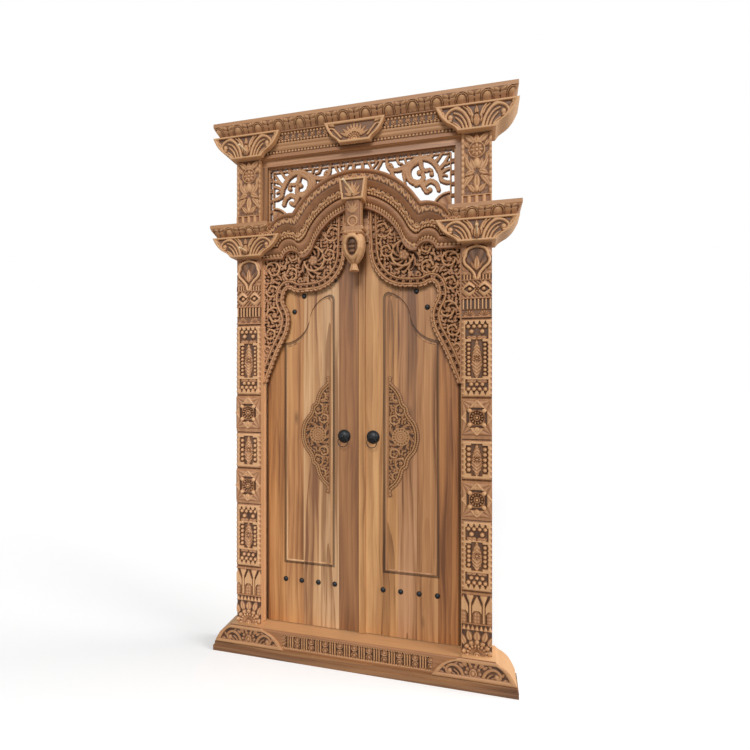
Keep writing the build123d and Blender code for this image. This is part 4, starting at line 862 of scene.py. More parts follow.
def shell_row(s, w):
    """Row of shells on a cornice: ribbed domes in a dark and a bright ring on a swelling ground with a cut and two
    small leaves between them. s runs along the cornice and w from 0 at its foot to 1 at its fillet."""
    pitch = sizes().shell_pitch / MM
    a, y = (s / pitch % 1 - 0.5) * pitch, w * 52
    m = np.abs(a)
    h = np.where((m > 27) & (y > 33), 4.0, 6.5)
    h = np.where((np.abs(m - pitch / 2) < 2) & (y < 22), 1.5, h)
    h = np.maximum(h, 9 * leaf(m, y, (29, 49), (pitch / 2 - 1, 34), 13, 0.2))
    h = np.where((np.abs(m - pitch / 2) < 3) & (y > 30) & (y < 40), 0.5, h)
    r = np.hypot(a, (y - 17) * 0.9)
    h = np.where(r < 31, 0.5, h)
    h = np.maximum(h, np.where(r < 29, 9 * dome(r - 26.5, 2.8), 0))
    return np.where(r < 23, 12 * dome(r, 23) * (0.84 + 0.16 * np.cos(5 * np.arctan2(a, y + 4))), h)


def cornice(name, node, ends, flat_end=None):
    """Cornice: a swelling profile with shells under a plain fillet, carried round the front and the ends. Each
    height has its own inset; flat_end cuts the inner end square."""
    low, high = box_mm(node)
    z = span(low[2], high[2], 2.4)[:, None]
    w = (z - low[2]) / (high[2] - low[2])
    inset = 24 * (1 - ease(w, 0.02, 0.74)) + 2 * (w < 0.72)
    x0, x1 = ends
    x = span(0, 1, (sizes().pitch / MM) / (x1 - x0))[None]
    front_left = x0 + (inset if flat_end is None else 0 * inset)
    front_right = x1 - inset
    x = front_left + (front_right - front_left) * x
    carve = shell_row(x - (x0 + x1) / 2, np.clip((w - 0.05) / 0.67, 0, 1) + 0 * x)
    end = ease(x - x0, 0, 18) * ease(x1 - x, 0, 30) if flat_end is None else ease(x1 - x, 0, 30)
    band = ease(w, 0.04, 0.08) * ease(0.74 - w, 0, 0.03)
    h = carve * band * end
    y = low[1] + inset - np.maximum(h - 3, -3 * band * end) * 0.8
    y = np.maximum(y, low[1] - 1)
    # The shell band is painted lighter towards its top and darker towards its foot: painted highlight where the roll
    # turns up to the light, painted shade beneath
    relief = np.where(band * end > 0.5, ease(h, 0.5, 9) * (0.55 + 0.5 * ease(w, 0.1, 0.6)) + 0.05, 0.66)
    back = np.full(z.shape, FRAME_BACK)
    plain = np.full(z.shape, 0.74)
    lead = [(front_left, back)] if flat_end is None else [
        (np.full(z.shape, flat_end[0]), back), (np.full(z.shape, flat_end[0]), np.full(z.shape, flat_end[1])),
        (front_left, np.full(z.shape, flat_end[1]))]
    columns = [np.concatenate([a for a, b in lead] + [x, front_right], 1),
               np.concatenate([b for a, b in lead] + [y, back], 1), z,
               np.concatenate([plain for a in lead] + [relief, plain], 1)]
    for side, word in ((1, name),) if flat_end is None else ((1, "right_" + name), (-1, "left_" + name)):
        wrapped(word + "_carving", *columns, side, **timber(word, level()))


class DOOR_OT_cornices(bpy.types.Operator):
    """Carve the crown and the two mid cornices with rows of shells."""
    bl_idname = "door.cornices"
    bl_label = "Cornices"

    def execute(self, context):
        cornice("crown_cornice", "crown_cornice", (-750.0, 750.0))
        low, high = box_mm("right_mid_cornice")
        cornice("mid_cornice", "right_mid_cornice", (low[0], high[0]), (JAMB_INNER, -20.0))
        return {"FINISHED"}


# Frieze beam

class DOOR_OT_frieze(bpy.types.Operator):
    """Carve the beam under the crown: scrolls between two bead rows, two reeds and a third bead row."""
    bl_idname = "door.frieze"
    bl_label = "Frieze beam"

    def execute(self, context):
        low, high = box_mm("frieze_beam")
        tall = high[2] - low[2]

        def carve(x, z):
            """Coved face with its rows of carving."""
            w = (z - low[2]) / tall
            cove = np.interp(w, (0, 0.14, 0.15, 0.3, 0.31, 0.6, 0.61, 1), (-43, -43, -41, -39, -37, -45, -49, -49))
            a = (x / 34 % 1 - 0.5) * 34
            scroll = volute(a, (w - 0.79) * tall, (0, 0), 12, 1) * (np.abs(w - 0.79) < 0.1)
            row = sum(beads(x, (w - place) * tall, 17, 7) for place in (0.94, 0.64, 0.225))
            reed = dome((w - 0.455) % 0.15 - 0.075, 0.075) * (np.abs(w - 0.455) < 0.15)
            h = 5 * scroll + 6 * row
            sunk = ((np.abs(w - 0.79) < 0.2) | (np.abs(w - 0.225) < 0.065)) * 3.0
            return cove + sunk - h - 4 * reed, np.where(sunk > 0, ease(h, 0, 5) * 0.85 + 0.08, 0.5 + 0.25 * reed)

        carved_block("frieze_beam_carving", -JAMB_INNER, JAMB_INNER, span(low[2], high[2], 2.2), FRAME_BACK, carve,
                     **timber("frieze_beam", level()))
        return {"FINISHED"}


# Base

BLOCK_MIDDLE = 553.0


def block_sides(share):
    """Left and right edge of a base block at shares of its height."""
    way = edge_curve(share, BLOCK_EDGE)
    return 365 + 124 * way, 742 - 91 * way


def block_face(x, z):
    """Base block: a thick smooth ogee rim, a lotus of petals round a bud, acanthus that arches over and curls into
    balls, and leaves."""
    low, high = box_mm("right_base_block")
    w = z - low[2]
    share = w / (high[2] - low[2])
    left, right = block_sides(share)
    m = np.abs(x - BLOCK_MIDDLE)
    gap = np.minimum(np.minimum(w - 3, high[2] - z - 2), np.minimum(x - left, right - x) * 0.75)
    h = np.full(x.shape, 0.3)
    for points, wide, thin in ((((40, 12), (54, 42), (76, 60), (100, 60), (118, 44), (116, 26), (102, 24)), 17, 11),
                               (((58, 12), (68, 30), (84, 42)), 9, 5), (((74, 12), (84, 24), (94, 28)), 8, 4)):
        h = np.maximum(h, 6 * stroke(m, w, points, wide, thin, 0.2))
    h = raised(h, 5.8, leaf, m, w, (
        ((26, 62), (52, 82), 20, 0.2), ((40, 58), (66, 72), 15, 0), ((128, 14), (152, 26), 16, 0.2),
        ((126, 36), (136, 56), 12, 0.2), ((8, 66), (24, 86), 14, 0.1), ((66, 74), (84, 70), 10, 0)))
    h = np.maximum(h, 6.5 * dome(np.hypot(m - 103, w - 33), 12))
    r, a = np.hypot(m, w - 36), np.arctan2(w - 30, x - BLOCK_MIDDLE)
    h = np.where(r < 37, np.maximum(0.3, 6.3 * petals(r, a, 20, 37, 11, 0.25)), h)
    r = np.hypot(m / 17, (w - 34) / 21)
    h = np.where(r < 1.08, 6 * dome(r - 0.82, 0.24), h)
    h = np.where(r < 0.6, 6.5 * dome(r, 0.6), h)
    h = np.where(gap < 17, 6.5 * (0.1 + 0.95 * dome(gap - 8, 10)), h)
    return low[1] + 6.5 - h, ease(h, 0, 6.8) * 0.72 + 0.03


def sill_face(x, z):
    """Sill front: groups of three colonnettes, scrolls between them and zigzag borders on a sunk band."""
    low, high = box_mm("sill_beam")
    w = (z - low[2]) / (high[2] - low[2])
    a = (x / 73 % 1 - 0.5) * 73
    m = np.abs(a)
    band = ease(w, 0.13, 0.16) * ease(0.88 - w, 0, 0.03) * (np.abs(x) < 372)
    h = 7 * dome((a + 6) % 12 - 6, 4) * (m < 18)
    h = np.maximum(h, 6 * volute(36.5 - m, (w - 0.5) * 93, (2, 14), 13, 1) * (m > 19))
    h = np.maximum(h, 6 * volute(36.5 - m, (w - 0.5) * 93, (2, -14), 13, -1) * (m > 19))
    zigzag = np.abs((x / 12 % 1) - 0.5) * 2
    rim = np.minimum(w - 0.14, 0.87 - w) * 93
    h = np.where(rim < 4 + 6 * zigzag, np.where(rim < 2 + 6 * zigzag, 6.5, 1), h)
    y = low[1] + 7 * band - h * band
    rough = 2.2 * ease(0.07 - w, 0, 0.07) + 2.2 * ease(w, 0.94, 1)
    return y + rough, np.where(band > 0.5, ease(h, 0, 6.5) * 0.8 + 0.04, 0.46)


class DOOR_OT_base(bpy.types.Operator):
    """Carve the base blocks and the sill."""
    bl_idname = "door.base"
    bl_label = "Base blocks and sill"

    def execute(self, context):
        low, high, heights, share = levels("right_base_block", 2.2)
        left, right = block_sides(share)
        for side, word in SIDES:
            carved_block(word + "_base_block_carving", left, right, heights, FRAME_BACK, block_face, side,
                         lead=((JAMB_INNER, FRAME_BACK), (JAMB_INNER, -72), (None, -72)),
                         **timber(word + "_base_block", level()))
        low, high = box_mm("sill_beam")
        carved_block("sill_beam_carving", -JAMB_INNER, JAMB_INNER, span(low[2], high[2], 2.0), FRAME_BACK, sill_face,
                     **timber("sill_beam", level()))
        return {"FINISHED"}


# Arch

ARCH_RIM = ((0, 386), (300, 229), (318, 205), (324, 204), (445, 148))
ARCH_EDGE = ((0, 216), (222, 43), (272, -12), (294, -11), (385, -11))
ARCH_RISES = ((0.125, 0.14), (0.0, -0.12), (0.0, 0.0), (0.13, 0.41), (0.0, 0.0))
ARCH_COUNTS = (132, 10, 4, 56, 30)
ARCH_FOOT = 2009.0


def arc_between(a, b, rise, count):
    """Even points after a up to b on an arc that rises to the left of the chord by a share of its length."""
    t = np.linspace(0, 1, count + 1)[1:, None]
    a, b = np.asarray(a, float), np.asarray(b, float)
    if abs(rise) < 1e-6:
        return a + (b - a) * t
    chord = b - a
    normal = np.array([-chord[1], chord[0]])
    sweep = 4 * math.atan(2 * rise)
    centre = (a + b) / 2 + normal * (rise - (rise / 2 + 1 / (8 * rise)))
    turn = -sweep * t
    spoke = a - centre
    return centre + np.concatenate([spoke[0] * np.cos(turn) - spoke[1] * np.sin(turn),
                                    spoke[0] * np.sin(turn) + spoke[1] * np.cos(turn)], 1)


def arch_line(share):
    """Points of one of the arch's lines, at a share of the way from its rim to its inner edge."""
    points = [np.add(np.multiply(a, 1 - share), np.multiply(b, share)) for a, b in zip(ARCH_RIM, ARCH_EDGE)]
    points.append(np.array([JAMB_INNER, points[-1][1]]))
    rises = [a + (b - a) * share for a, b in ARCH_RISES]
    line = [points[0][None]]
    for a, b, rise, count in zip(points, points[1:], rises, ARCH_COUNTS):
        line.append(arc_between(a, b, rise, count))
    return np.concatenate(line) + (0, ARCH_FOOT)


def arch_section(t, s):
    """Depth ahead of the arch's back, and relief, at a share t from rim to inner edge and a length s along it: a
    rim, a lotus band, a bright cavetto, a foliage band, beads, a groove, a wide ovolo, beads and a fillet."""
    base = np.interp(
        t, (0, 0.015, 0.05, 0.085, 0.1, 0.11, 0.29, 0.3, 0.34, 0.4, 0.415, 0.43, 0.57, 0.58, 0.63, 0.65, 0.665, 0.69,
            0.74, 0.8, 0.85, 0.86, 0.92, 0.93, 1),
        (52, 57, 60, 57, 52, 48, 46, 50, 46, 38, 36, 33, 30, 32, 31, 22, 27, 32, 33, 29, 20, 19, 18, 21, 20))
    relief = np.full(base.shape, 0.46)
    b = (t - 0.11) / 0.18
    a = (s / 40 % 1 - 0.5) * 2
    petal = dome(np.hypot(a, (b - 0.1) * 0.9), 0.92) * (0.6 + 0.4 * np.cos(np.hypot(a, b) * 9))
    petal = np.maximum(petal, leaf(np.abs(a) * 20, b * 30, (20, 2), (20, 30), 12))
    lace = (b > 0) & (b < 1)
    h = np.where(lace, 5 * petal, 0)
    relief = np.where(lace, ease(petal, 0.05, 0.9) * 0.85 + 0.06, relief)
    b = (t - 0.43) / 0.14
    wave = 0.5 + 0.28 * np.sin(2 * np.pi * s / 52)
    vine = dome(b - wave, 0.16)
    curl = (s / 26 % 1 - 0.5) * 26
    place = np.where((s / 26 % 2) < 1, 0.3, 0.7)
    r = np.hypot(curl, (b - place) * 24)
    vine = np.maximum(vine, dome(r - 7, 2.6))
    vine = np.maximum(vine, dome(r, 3.4))
    vine = np.maximum(vine, 0.8 * leaf(np.abs(curl), b * 24, (13, 12), (9, 23), 8))
    lace = (b > 0) & (b < 1)
    h = np.where(lace, 5 * vine - 2.5, h)
    relief = np.where(lace, ease(vine, 0.1, 0.9) * 0.85 + 0.05, relief)
    pitch = sizes().arch_bead / MM
    for place in (0.605, 0.89):
        row = beads(s, (t - place) * 172, pitch, pitch * 0.47)
        band = np.abs(t - place) < 0.04
        h = np.where(band, 6.5 * row - 2, h)
        relief = np.where(band, ease(row, 0, 0.8) * 0.85 + 0.08, relief)
    # The groove is coloured nearly as dark as the ground: painted shade
    relief = np.where(np.abs(t - 0.65) < 0.012, 0.1, relief)
    return base + h, relief


class DOOR_OT_arch(bpy.types.Operator):
    """Carve the two halves of the trefoil arch."""
    bl_idname = "door.arch"
    bl_label = "Arch"

    def execute(self, context):
        # The bands of the section, and the steps across each
        stops, counts = (0, 0.11, 0.3, 0.43, 0.57, 0.65, 0.855, 0.925, 1), (7, 14, 7, 14, 10, 11, 8, 3)
        bands = [np.linspace(a, b, count, endpoint=False) for a, b, count in zip(stops, stops[1:], counts)]
        t = np.concatenate(bands + [stops[-1:]])
        lines = np.stack([arch_line(share) for share in t], 1)
        middle = lines[:, len(t) // 2]
        s = np.concatenate([[0], np.cumsum(np.hypot(*np.diff(middle, axis=0).T))])[:, None]
        depth, relief = arch_section(np.broadcast_to(t, (len(s), len(t))), np.broadcast_to(s, (len(s), len(t))))
        front = np.stack([lines[..., 0], ARCH_BACK - depth, lines[..., 1]], -1)
        back = front[:, [-1, 0]].copy()
        back[..., 1] = ARCH_BACK
        points = np.concatenate([front, back], 1)
        relief = np.concatenate([relief, np.full((len(s), 2), 0.6)], 1)
        for side, word in SIDES:
            tube(word + "_arch_carving", points, relief, side, **timber(word + "_arch", level()))
        return {"FINISHED"}


# Fretwork

SPANDREL_EDGE = ((60, 2260), (61, 2203), (64, 2090), (71, 1988), (92, 1928), (135, 1876), (192, 1846), (254, 1838),
                 (318, 1838), (353, 1853), (376, 1850), (391, 1828), (397, 1790), (388, 1762), (376, 1740), (366, 1705),
                 (367, 1670), (380, 1622), (404, 1576), (432, 1520), (455, 1466), (472, 1425), (484, 1395), (490, 1372))


def foliage(x, z, scrolls, spacing, seed, size=(25, 13)):
    """Lace of leaves and tendrils, as a height that falls below 0 in the holes: scrolls coil round rosettes, and
    small leaves on a jittered grid fill the rest."""
    h = np.full(x.shape, -1.0)
    rng = np.random.default_rng(seed)
    x0, z0, step = x[0, 0], z[0, 0], x[0, 1] - x[0, 0]
    rows, columns = x.shape
    for cz in np.arange(z0, z[-1, 0], spacing):
        for cx in np.arange(x0, x[0, -1], spacing):
            px, pz = cx + rng.uniform(-0.25, 0.25) * spacing, cz + rng.uniform(-0.25, 0.25) * spacing
            turn = rng.uniform(0, 2 * np.pi)
            half = size[0] / 2 * rng.uniform(0.85, 1.15)
            i, j, reach = int((pz - z0) / step), int((px - x0) / step), int(size[0] / step)
            view = (slice(max(i - reach, 0), min(i + reach, rows)), slice(max(j - reach, 0), min(j + reach, columns)))
            if h[view].size:
                dx, dz = half * math.cos(turn), half * math.sin(turn)
                blade = leaf(x[view], z[view], (px - dx, pz - dz), (px + dx, pz + dz), size[1], rng.uniform(-0.3, 0.3))
                h[view] = np.maximum(h[view], np.where(blade > 0, 0.25 + 0.55 * blade, -1))
    for cx, cz, radius, hand in scrolls:
        r, a = np.hypot(x - cx, z - cz), np.arctan2(z - cz, x - cx)
        inside = r < radius
        count = max(5, int(radius / 7))
        swirl = np.cos(count * (a + hand * 1.4 * r / radius))
        lace = np.where((swirl > -0.25) & (r > 0.36 * radius), 0.3 + 0.4 * np.clip(swirl, 0, 1), -1)
        h = np.where(inside, lace, h)
        coil = r - radius * (1 - 0.42 * ((hand * a / (2 * np.pi)) % 1))
        width = 4.2 + radius * 0.02
        h = np.maximum(h, np.where(np.abs(coil) < width, 0.35 + 0.65 * dome(coil, width), -1))
        core = 0.34 * radius
        h = np.where(r < core, 0.3 + 0.7 * flower(x, z, (cx, cz), core, 5), h)
    return h


def lace_field(h, step):
    """Smooth field whose zero line bounds the wood: the wood mask blurred twice."""
    field = np.where(h > 0, 1.0, -1.0)
    for _ in range(2):
        pad = np.pad(field, 1, mode="edge")
        field = (pad[:-2, 1:-1] + pad[2:, 1:-1] + pad[1:-1, :-2] + pad[1:-1, 2:] + 2 * field) / 6
    return field * step


def joined(keep, seeds):
    """Part of a mask that hangs together with its seeds."""
    grown = keep & seeds
    while True:
        pad = np.pad(grown, 1)
        more = (pad[:-2, 1:-1] | pad[2:, 1:-1] | pad[1:-1, :-2] | pad[1:-1, 2:] | grown) & keep
        if more.sum() == grown.sum():
            return grown
        grown = more


class DOOR_OT_spandrels(bpy.types.Operator):
    """Carve the pierced spandrels: leaf lace and scrolls in a slotted double band with a scalloped crest."""
    bl_idname = "door.spandrels"
    bl_label = "Spandrels"

    def execute(self, context):
        low, high = box_mm("right_spandrel")
        step = 2.6
        x, z = np.meshgrid(np.arange(52.0, high[0] + 0.1, (high[0] - 52) / round((high[0] - 52) / step)),
                           np.arange(low[2], high[2] + step, step))
        line = smooth_line(SPANDREL_EDGE)
        d, s = beside_line(x, z, line)
        scrolls = ((231, 1985, 76, 1), (128, 2112, 40, -1), (348, 1925, 38, -1), (446, 1950, 42, 1),
                   (452, 1842, 34, -1), (440, 1715, 44, 1), (462, 1622, 30, -1), (478, 1540, 17, 1),
                   (146, 2010, 32, -1), (340, 2012, 30, 1), (186, 2190, 34, 1))
        h = foliage(x, z, scrolls, 17, 11)
        band = d < 38
        h = np.where(band, 0.35, h)
        h = np.where(band, np.maximum(h, np.maximum(dome(d - 6, 5), dome(d - 32, 5))), h)
        slot = (np.abs(d - 19) < 4.6) & (np.abs((s / 36) % 1 - 0.5) < 0.3)
        h = np.where(slot, -1, h)
        leaf_row = 0.3 + 0.4 * np.abs(np.sin(np.pi * s / 9)) * dome(d - 19, 9)
        h = np.where(band & ~slot & (np.abs(d - 19) < 8), leaf_row, h)
        crest = -11 * (0.35 + 0.65 * np.abs(np.sin(np.pi * s / 24))) * (0.7 + 0.3 * np.abs(np.sin(np.pi * s / 8)))
        h = np.where(d < 0.5, np.where(d > crest, 0.3 + 0.5 * dome(d + 4, 6), -1), h)
        h = np.where(x > 494, 0.8, h)
        roof = arch_line(0.62)
        above = z - np.interp(x, roof[:, 0], roof[:, 1])
        h = np.where((above < 0) & (above > -14), np.maximum(h, 0.3), h)
        outside = (above > 0) | (d < crest - 1) | (x < 57)
        h = np.where(outside, -1, h)
        wood = joined(h > 0, (x > 494) | (np.abs(d - 6) < 4))
        h = np.where(wood, h, -1)
        field = lace_field(h, step)
        front = SPANDREL_BACK - 8 - 10 * np.clip(h, 0, 1)
        relief = ease(h, 0.1, 1.0) * 0.72 + 0.06
        for side, word in SIDES:
            pierced(word + "_spandrel_carving", x, z, field, front, SPANDREL_BACK, relief, side,
                    **timber(word + "_spandrel", upright(side)))
        return {"FINISHED"}


TRANSOM_SCROLLS = (
    (((290, 2434), (259, 2412), (248, 2380), (264, 2341), (296, 2328), (321, 2341), (319, 2367), (304, 2377)), 30, 15),
    (((261, 2424), (225, 2406), (191, 2399), (158, 2410), (146, 2435), (148, 2456)), 21, 12),
    (((286, 2434), (326, 2441), (363, 2423), (389, 2390), (402, 2359), (408, 2330), (428, 2318), (452, 2314)), 22, 14),
    (((310, 2424), (315, 2396), (333, 2382), (356, 2384), (366, 2366)), 18, 11),
    (((288, 2322), (312, 2324), (326, 2300), (338, 2280), (354, 2288)), 22, 14),
    (((322, 2312), (356, 2329), (384, 2313), (396, 2284)), 20, 16),
    (((392, 2378), (419, 2402), (442, 2440)), 17, 8), (((402, 2359), (425, 2374), (452, 2382)), 14, 10),
    (((372, 2412), (393, 2430), (412, 2456)), 15, 8), (((340, 2434), (363, 2446), (376, 2460)), 14, 8),
    (((146, 2432), (166, 2429), (170, 2417)), 11, 9), (((121, 2460), (112, 2440), (98, 2412)), 14, 8),
    (((51, 2460), (62, 2436), (76, 2408)), 14, 8),
    (((194, 2460), (204, 2432), (222, 2426)), 12, 8), (((232, 2460), (240, 2428)), 12, 8),
    (((232, 2400), (228, 2376), (236, 2330)), 15, 8),
    (((100, 2458), (88, 2436), (74, 2420)), 10, 6), (((20, 2460), (24, 2430), (22, 2400)), 14, 10),
    (((306, 2456), (300, 2436)), 12, 10),
    (((404, 2346), (420, 2352), (436, 2346)), 12, 6), (((420, 2402), (436, 2404), (452, 2412)), 12, 8),
    (((168, 2396), (176, 2376), (196, 2350)), 15, 10))


class DOOR_OT_transom(bpy.types.Operator):
    """Carve the transom's open fretwork: acanthus scrolls, a slotted border and fans in the lower corners."""
    bl_idname = "door.transom"
    bl_label = "Transom fretwork"

    def execute(self, context):
        low, high = box_mm("transom_fretwork")
        step = 2.6
        count = int(round((high[0] - low[0]) / step))
        x, z = np.meshgrid(np.linspace(low[0], high[0], count + 1),
                           np.arange(low[2], high[2] + 0.1, (high[2] - low[2]) / 115))
        m = np.abs(x)
        h = np.full(x.shape, -1.0)
        for points, wide, thin in TRANSOM_SCROLLS:
            ridge = stroke(m, z, points, 1.5 * wide, 1.45 * thin, 0.35, 0.16)
            h = np.where(ridge > 0, np.maximum(h, 0.3 + 0.65 * ridge), h)
        for cx, cz, radius in ((304, 2375, 13), (362, 2362, 11), (354, 2288, 12), (170, 2418, 9)):
            r = np.hypot(m - cx, z - cz)
            h = np.where(r < radius, 0.35 + 0.65 * dome(r, radius), h)
        border = np.minimum(high[2] - z, high[0] - m)
        along = np.where(high[2] - z < high[0] - m, m - 36, z - 2415)
        h = np.where(border < 27, 0.4 + 0.3 * np.abs(np.sin(along / 6) * np.sin(border / 4)), h)
        h = np.where((np.abs(border - 13) < 6.5) & (np.abs((along / 54) % 1 - 0.5) < 0.32), -1, h)
        h = np.where((np.abs(border - 24) < 3) | (border < 6), 0.85, h)
        corner = np.hypot(m - 447, z - low[2] - 10)
        turn = np.arctan2(z - low[2] - 10, 447 - m)
        fan = 0.45 + 0.4 * np.abs(np.cos(4 * turn)) * ease(corner, 10, 50)
        h = np.where((corner < 84) & (m < 448), np.where(corner > 74, 0.95, np.where(corner > 66, 0.2, fan)), h)
        roof = arch_line(0.2)
        below = z < np.interp(m, roof[:, 0], roof[:, 1]) - 6
        h = np.where(below, 0.4, h)
        wood = joined(h > 0, (border < 5) | below)
        h = np.where(wood, h, -1)
        front = low[1] + 14 - 12 * np.clip(h, 0, 1) - 4
        pierced("transom_fretwork_carving", x, z, lace_field(h, step), front, high[1], ease(h, 0.1, 1.0) * 0.7 + 0.1, 1,
                **timber("transom_fretwork", level()))
        return {"FINISHED"}


class DOOR_OT_medallions(bpy.types.Operator):
    """Carve the half medallions of the leaves: a beaded lobed border, a rosette and leaf scrolls."""
    bl_idname = "door.medallions"
    bl_label = "Medallions"

    def execute(self, context):
        low, high = box_mm("right_medallion")
        step = 2.0
        x, z = np.meshgrid(np.arange(low[0], high[0] + 6, step), np.arange(low[2], high[2] + step, step))
        flat, c = low[0], (low[2] + high[2]) / 2
        half, wide = (high[2] - low[2]) / 2, 156.0
        shares = ((0.0, 1.0), (0.13, 0.985), (0.11, 0.9), (0.3, 0.8), (0.43, 0.68), (0.5, 0.56), (0.62, 0.5),
                  (0.68, 0.38), (0.88, 0.24), (0.97, 0.1), (0.985, 0.0))
        edge = [(flat + wide * u, c + half * v) for u, v in shares]
        edge += [(a, 2 * c - b) for a, b in reversed(edge[:-1])]
        d, s = beside_line(x, z, smooth_line(edge, 1.0))
        d = -d
        scrolls = ((flat + 62, c + 128, 34, 1), (flat + 62, c - 128, 34, -1), (flat + 40, c + 195, 24, -1),
                   (flat + 40, c - 195, 24, 1), (flat + 30, c + 84, 26, -1), (flat + 30, c - 84, 26, 1))
        h = foliage(x, z, scrolls, 14, 3, (22, 11))
        r, a = np.hypot(x - flat - 62, z - c), np.arctan2(z - c, x - flat - 62)
        h = np.where(r < 60, np.where(np.cos(9 * (a + r / 60)) > -0.2, 0.6, -1), h)
        h = np.where(r < 44, np.where(r > 38, 0.9, np.where(np.abs(np.cos(8 * a)) > 0.25, 0.7, 0.1)), h)
        h = np.where(r < 30, 0.5 + 0.4 * np.abs(np.sin(r / 3.4)), h)
        h = np.maximum(h, 0.05)
        h = np.where(d < 26,
                     np.where(np.abs(d - 20) < 4, 0.95, np.where(d < 15, 0.35 + 0.6 * beads(s, d - 8, 11, 6), 0.15)), h)
        h = np.where(x - flat < 5, 0.6, h)
        outside = d < 0.5
        field = np.where(outside, np.minimum(d, -0.3), np.maximum(d, 0.3))
        field = np.clip(field, -3, 3)
        field[:, 0] = np.abs(field[:, 0])
        front = LEAF_FACE - 1.2 - 5.8 * np.clip(h, 0, 1)
        for side, word in SIDES:
            pierced(word + "_medallion_carving", x, z, field, front, LEAF_FACE, ease(h, 0.12, 0.9) * 0.78, side,
                    body=word + "_leaf", material=finish("oiled_carved_teak_medallion", carved_teak, lift=0.8),
                    slot="carved_teak", nodes=[word + "_medallion"])
        return {"FINISHED"}


# Keystone and pendant

class DOOR_OT_pendant(bpy.types.Operator):
    """Carve the keystone, and the pendant with its shank, collar, lotus bud and tassel."""
    bl_idname = "door.pendant"
    bl_label = "Keystone and pendant"

    def execute(self, context):
        low, high, heights, share = levels("keystone", 2.0)
        half = 52 + 13 * share

        def key_face(x, z):
            """Fan of leaves in a rounded rim."""
            m, w = np.abs(x), z - low[2]
            gap = np.minimum(np.minimum(w, high[2] - z), half[:, None] - m)
            h = np.full(x.shape, 0.5)
            for tip, wide in (((0, 90), 22), ((22, 84), 16), ((42, 66), 16), ((46, 30), 14)):
                h = np.maximum(h, 6.5 * leaf(m, w, (4, 12), tip, wide, 0.15, teeth=4))
            h = np.where(gap < 10, 7 * (0.6 + 0.5 * dome(gap - 5, 7)), h)
            return low[1] + 7 - h, ease(h, -2, 7) * 0.9 + 0.05

        carved_block("keystone_carving", -half, half, heights, -38.0, key_face, **timber("keystone", upright()),
                     columns=56)
        low, high = box_mm("pendant")
        top = high[2]
        # The pendant's own grid goes round its axis, from a square plan at the shank to a round one at the bud
        z = np.concatenate([span(top, top - 128, 2.2), span(top - 128, top - 162, 1.6)[1:],
                            span(top - 162, low[2], 1.8)[1:]])
        turn = np.linspace(0, 2 * np.pi, 121)[:-1][None]
        fall = (top - z)[:, None]
        half_wide = np.interp(
            fall, (0, 127, 128, 131, 144, 147, 160, 162, 164, 180, 200, 232, 262, 284, 297, 304, 318, 332),
            (37, 37, 50, 54, 54, 46, 46, 40, 44, 50, 52, 50, 40, 26, 15, 13, 17, 22))
        half_deep = np.minimum(half_wide, np.interp(fall, (0, 127, 128, 162, 164, 332), (31, 31, 37, 37, 60, 60)))
        square = np.interp(fall, (0, 160, 166, 332), (12, 12, 2.2, 2.0))
        c, si = np.cos(turn), np.sin(turn)
        swell = (np.abs(c) ** square + np.abs(si) ** square) ** (-1 / square)
        u = half_wide * swell * c
        h = np.zeros(u.shape)
        shank = (fall < 126) & (-si > 0.5)
        w = 128 - fall
        pattern = np.maximum.reduce([
            leaf(np.abs(u), w + 0 * u, (0, 62), tip, 15, 0.1) for tip in ((0, 122), (22, 116), (31, 90))])
        pattern = np.maximum(pattern, dome(np.hypot(u, (w - 26)) - 22, 5))
        pattern = np.maximum(pattern, 0.9 * flower(u, w + 0 * u, (0, 24), 17, 9))
        h = np.where(shank, 5 * pattern - 3, h)
        collar = (fall > 129) & (fall < 161)
        h = np.where(collar, 2.5 * beads(turn * 50 + 0 * fall, fall - 153, 11, 5) * (fall > 145) + h, h)
        bud = (fall > 165) & (fall < 296)
        ahead = (turn - np.pi / 2) % (2 * np.pi) - np.pi
        hood = np.hypot(ahead / 0.66, (fall - 226) / 50)
        petal = np.abs(np.cos(3 * ahead))
        h = np.where(bud, 4 * petal - 3 * (petal < 0.22), h)
        h = np.where(bud & (np.abs(hood - 1.08) < 0.24), 7 * dome(hood - 1.08, 0.26), h)
        rings = np.abs(np.sin((fall - 196) / 6.5)) * (np.abs(ahead) < 0.34) * (fall > 206)
        h = np.where(bud & (hood < 0.84), 7 * rings - 11, h)
        tassel = fall > 300
        h = np.where(tassel, 2.5 * np.abs(np.cos(4 * turn)), h)
        scale = 1 + h / np.maximum(half_wide, 1)
        points = np.stack([u * scale, -72 + half_deep * swell * si * scale, np.broadcast_to(z[:, None], u.shape)], -1)
        carved = shank | collar | bud | tassel
        relief = np.where(carved, ease(h, -8, 5) * 0.85 + 0.08, 0.8)
        tube("pendant_carving", points[:, ::-1], relief[:, ::-1], 1, **timber("pendant", upright()))
        return {"FINISHED"}


# Ironwork

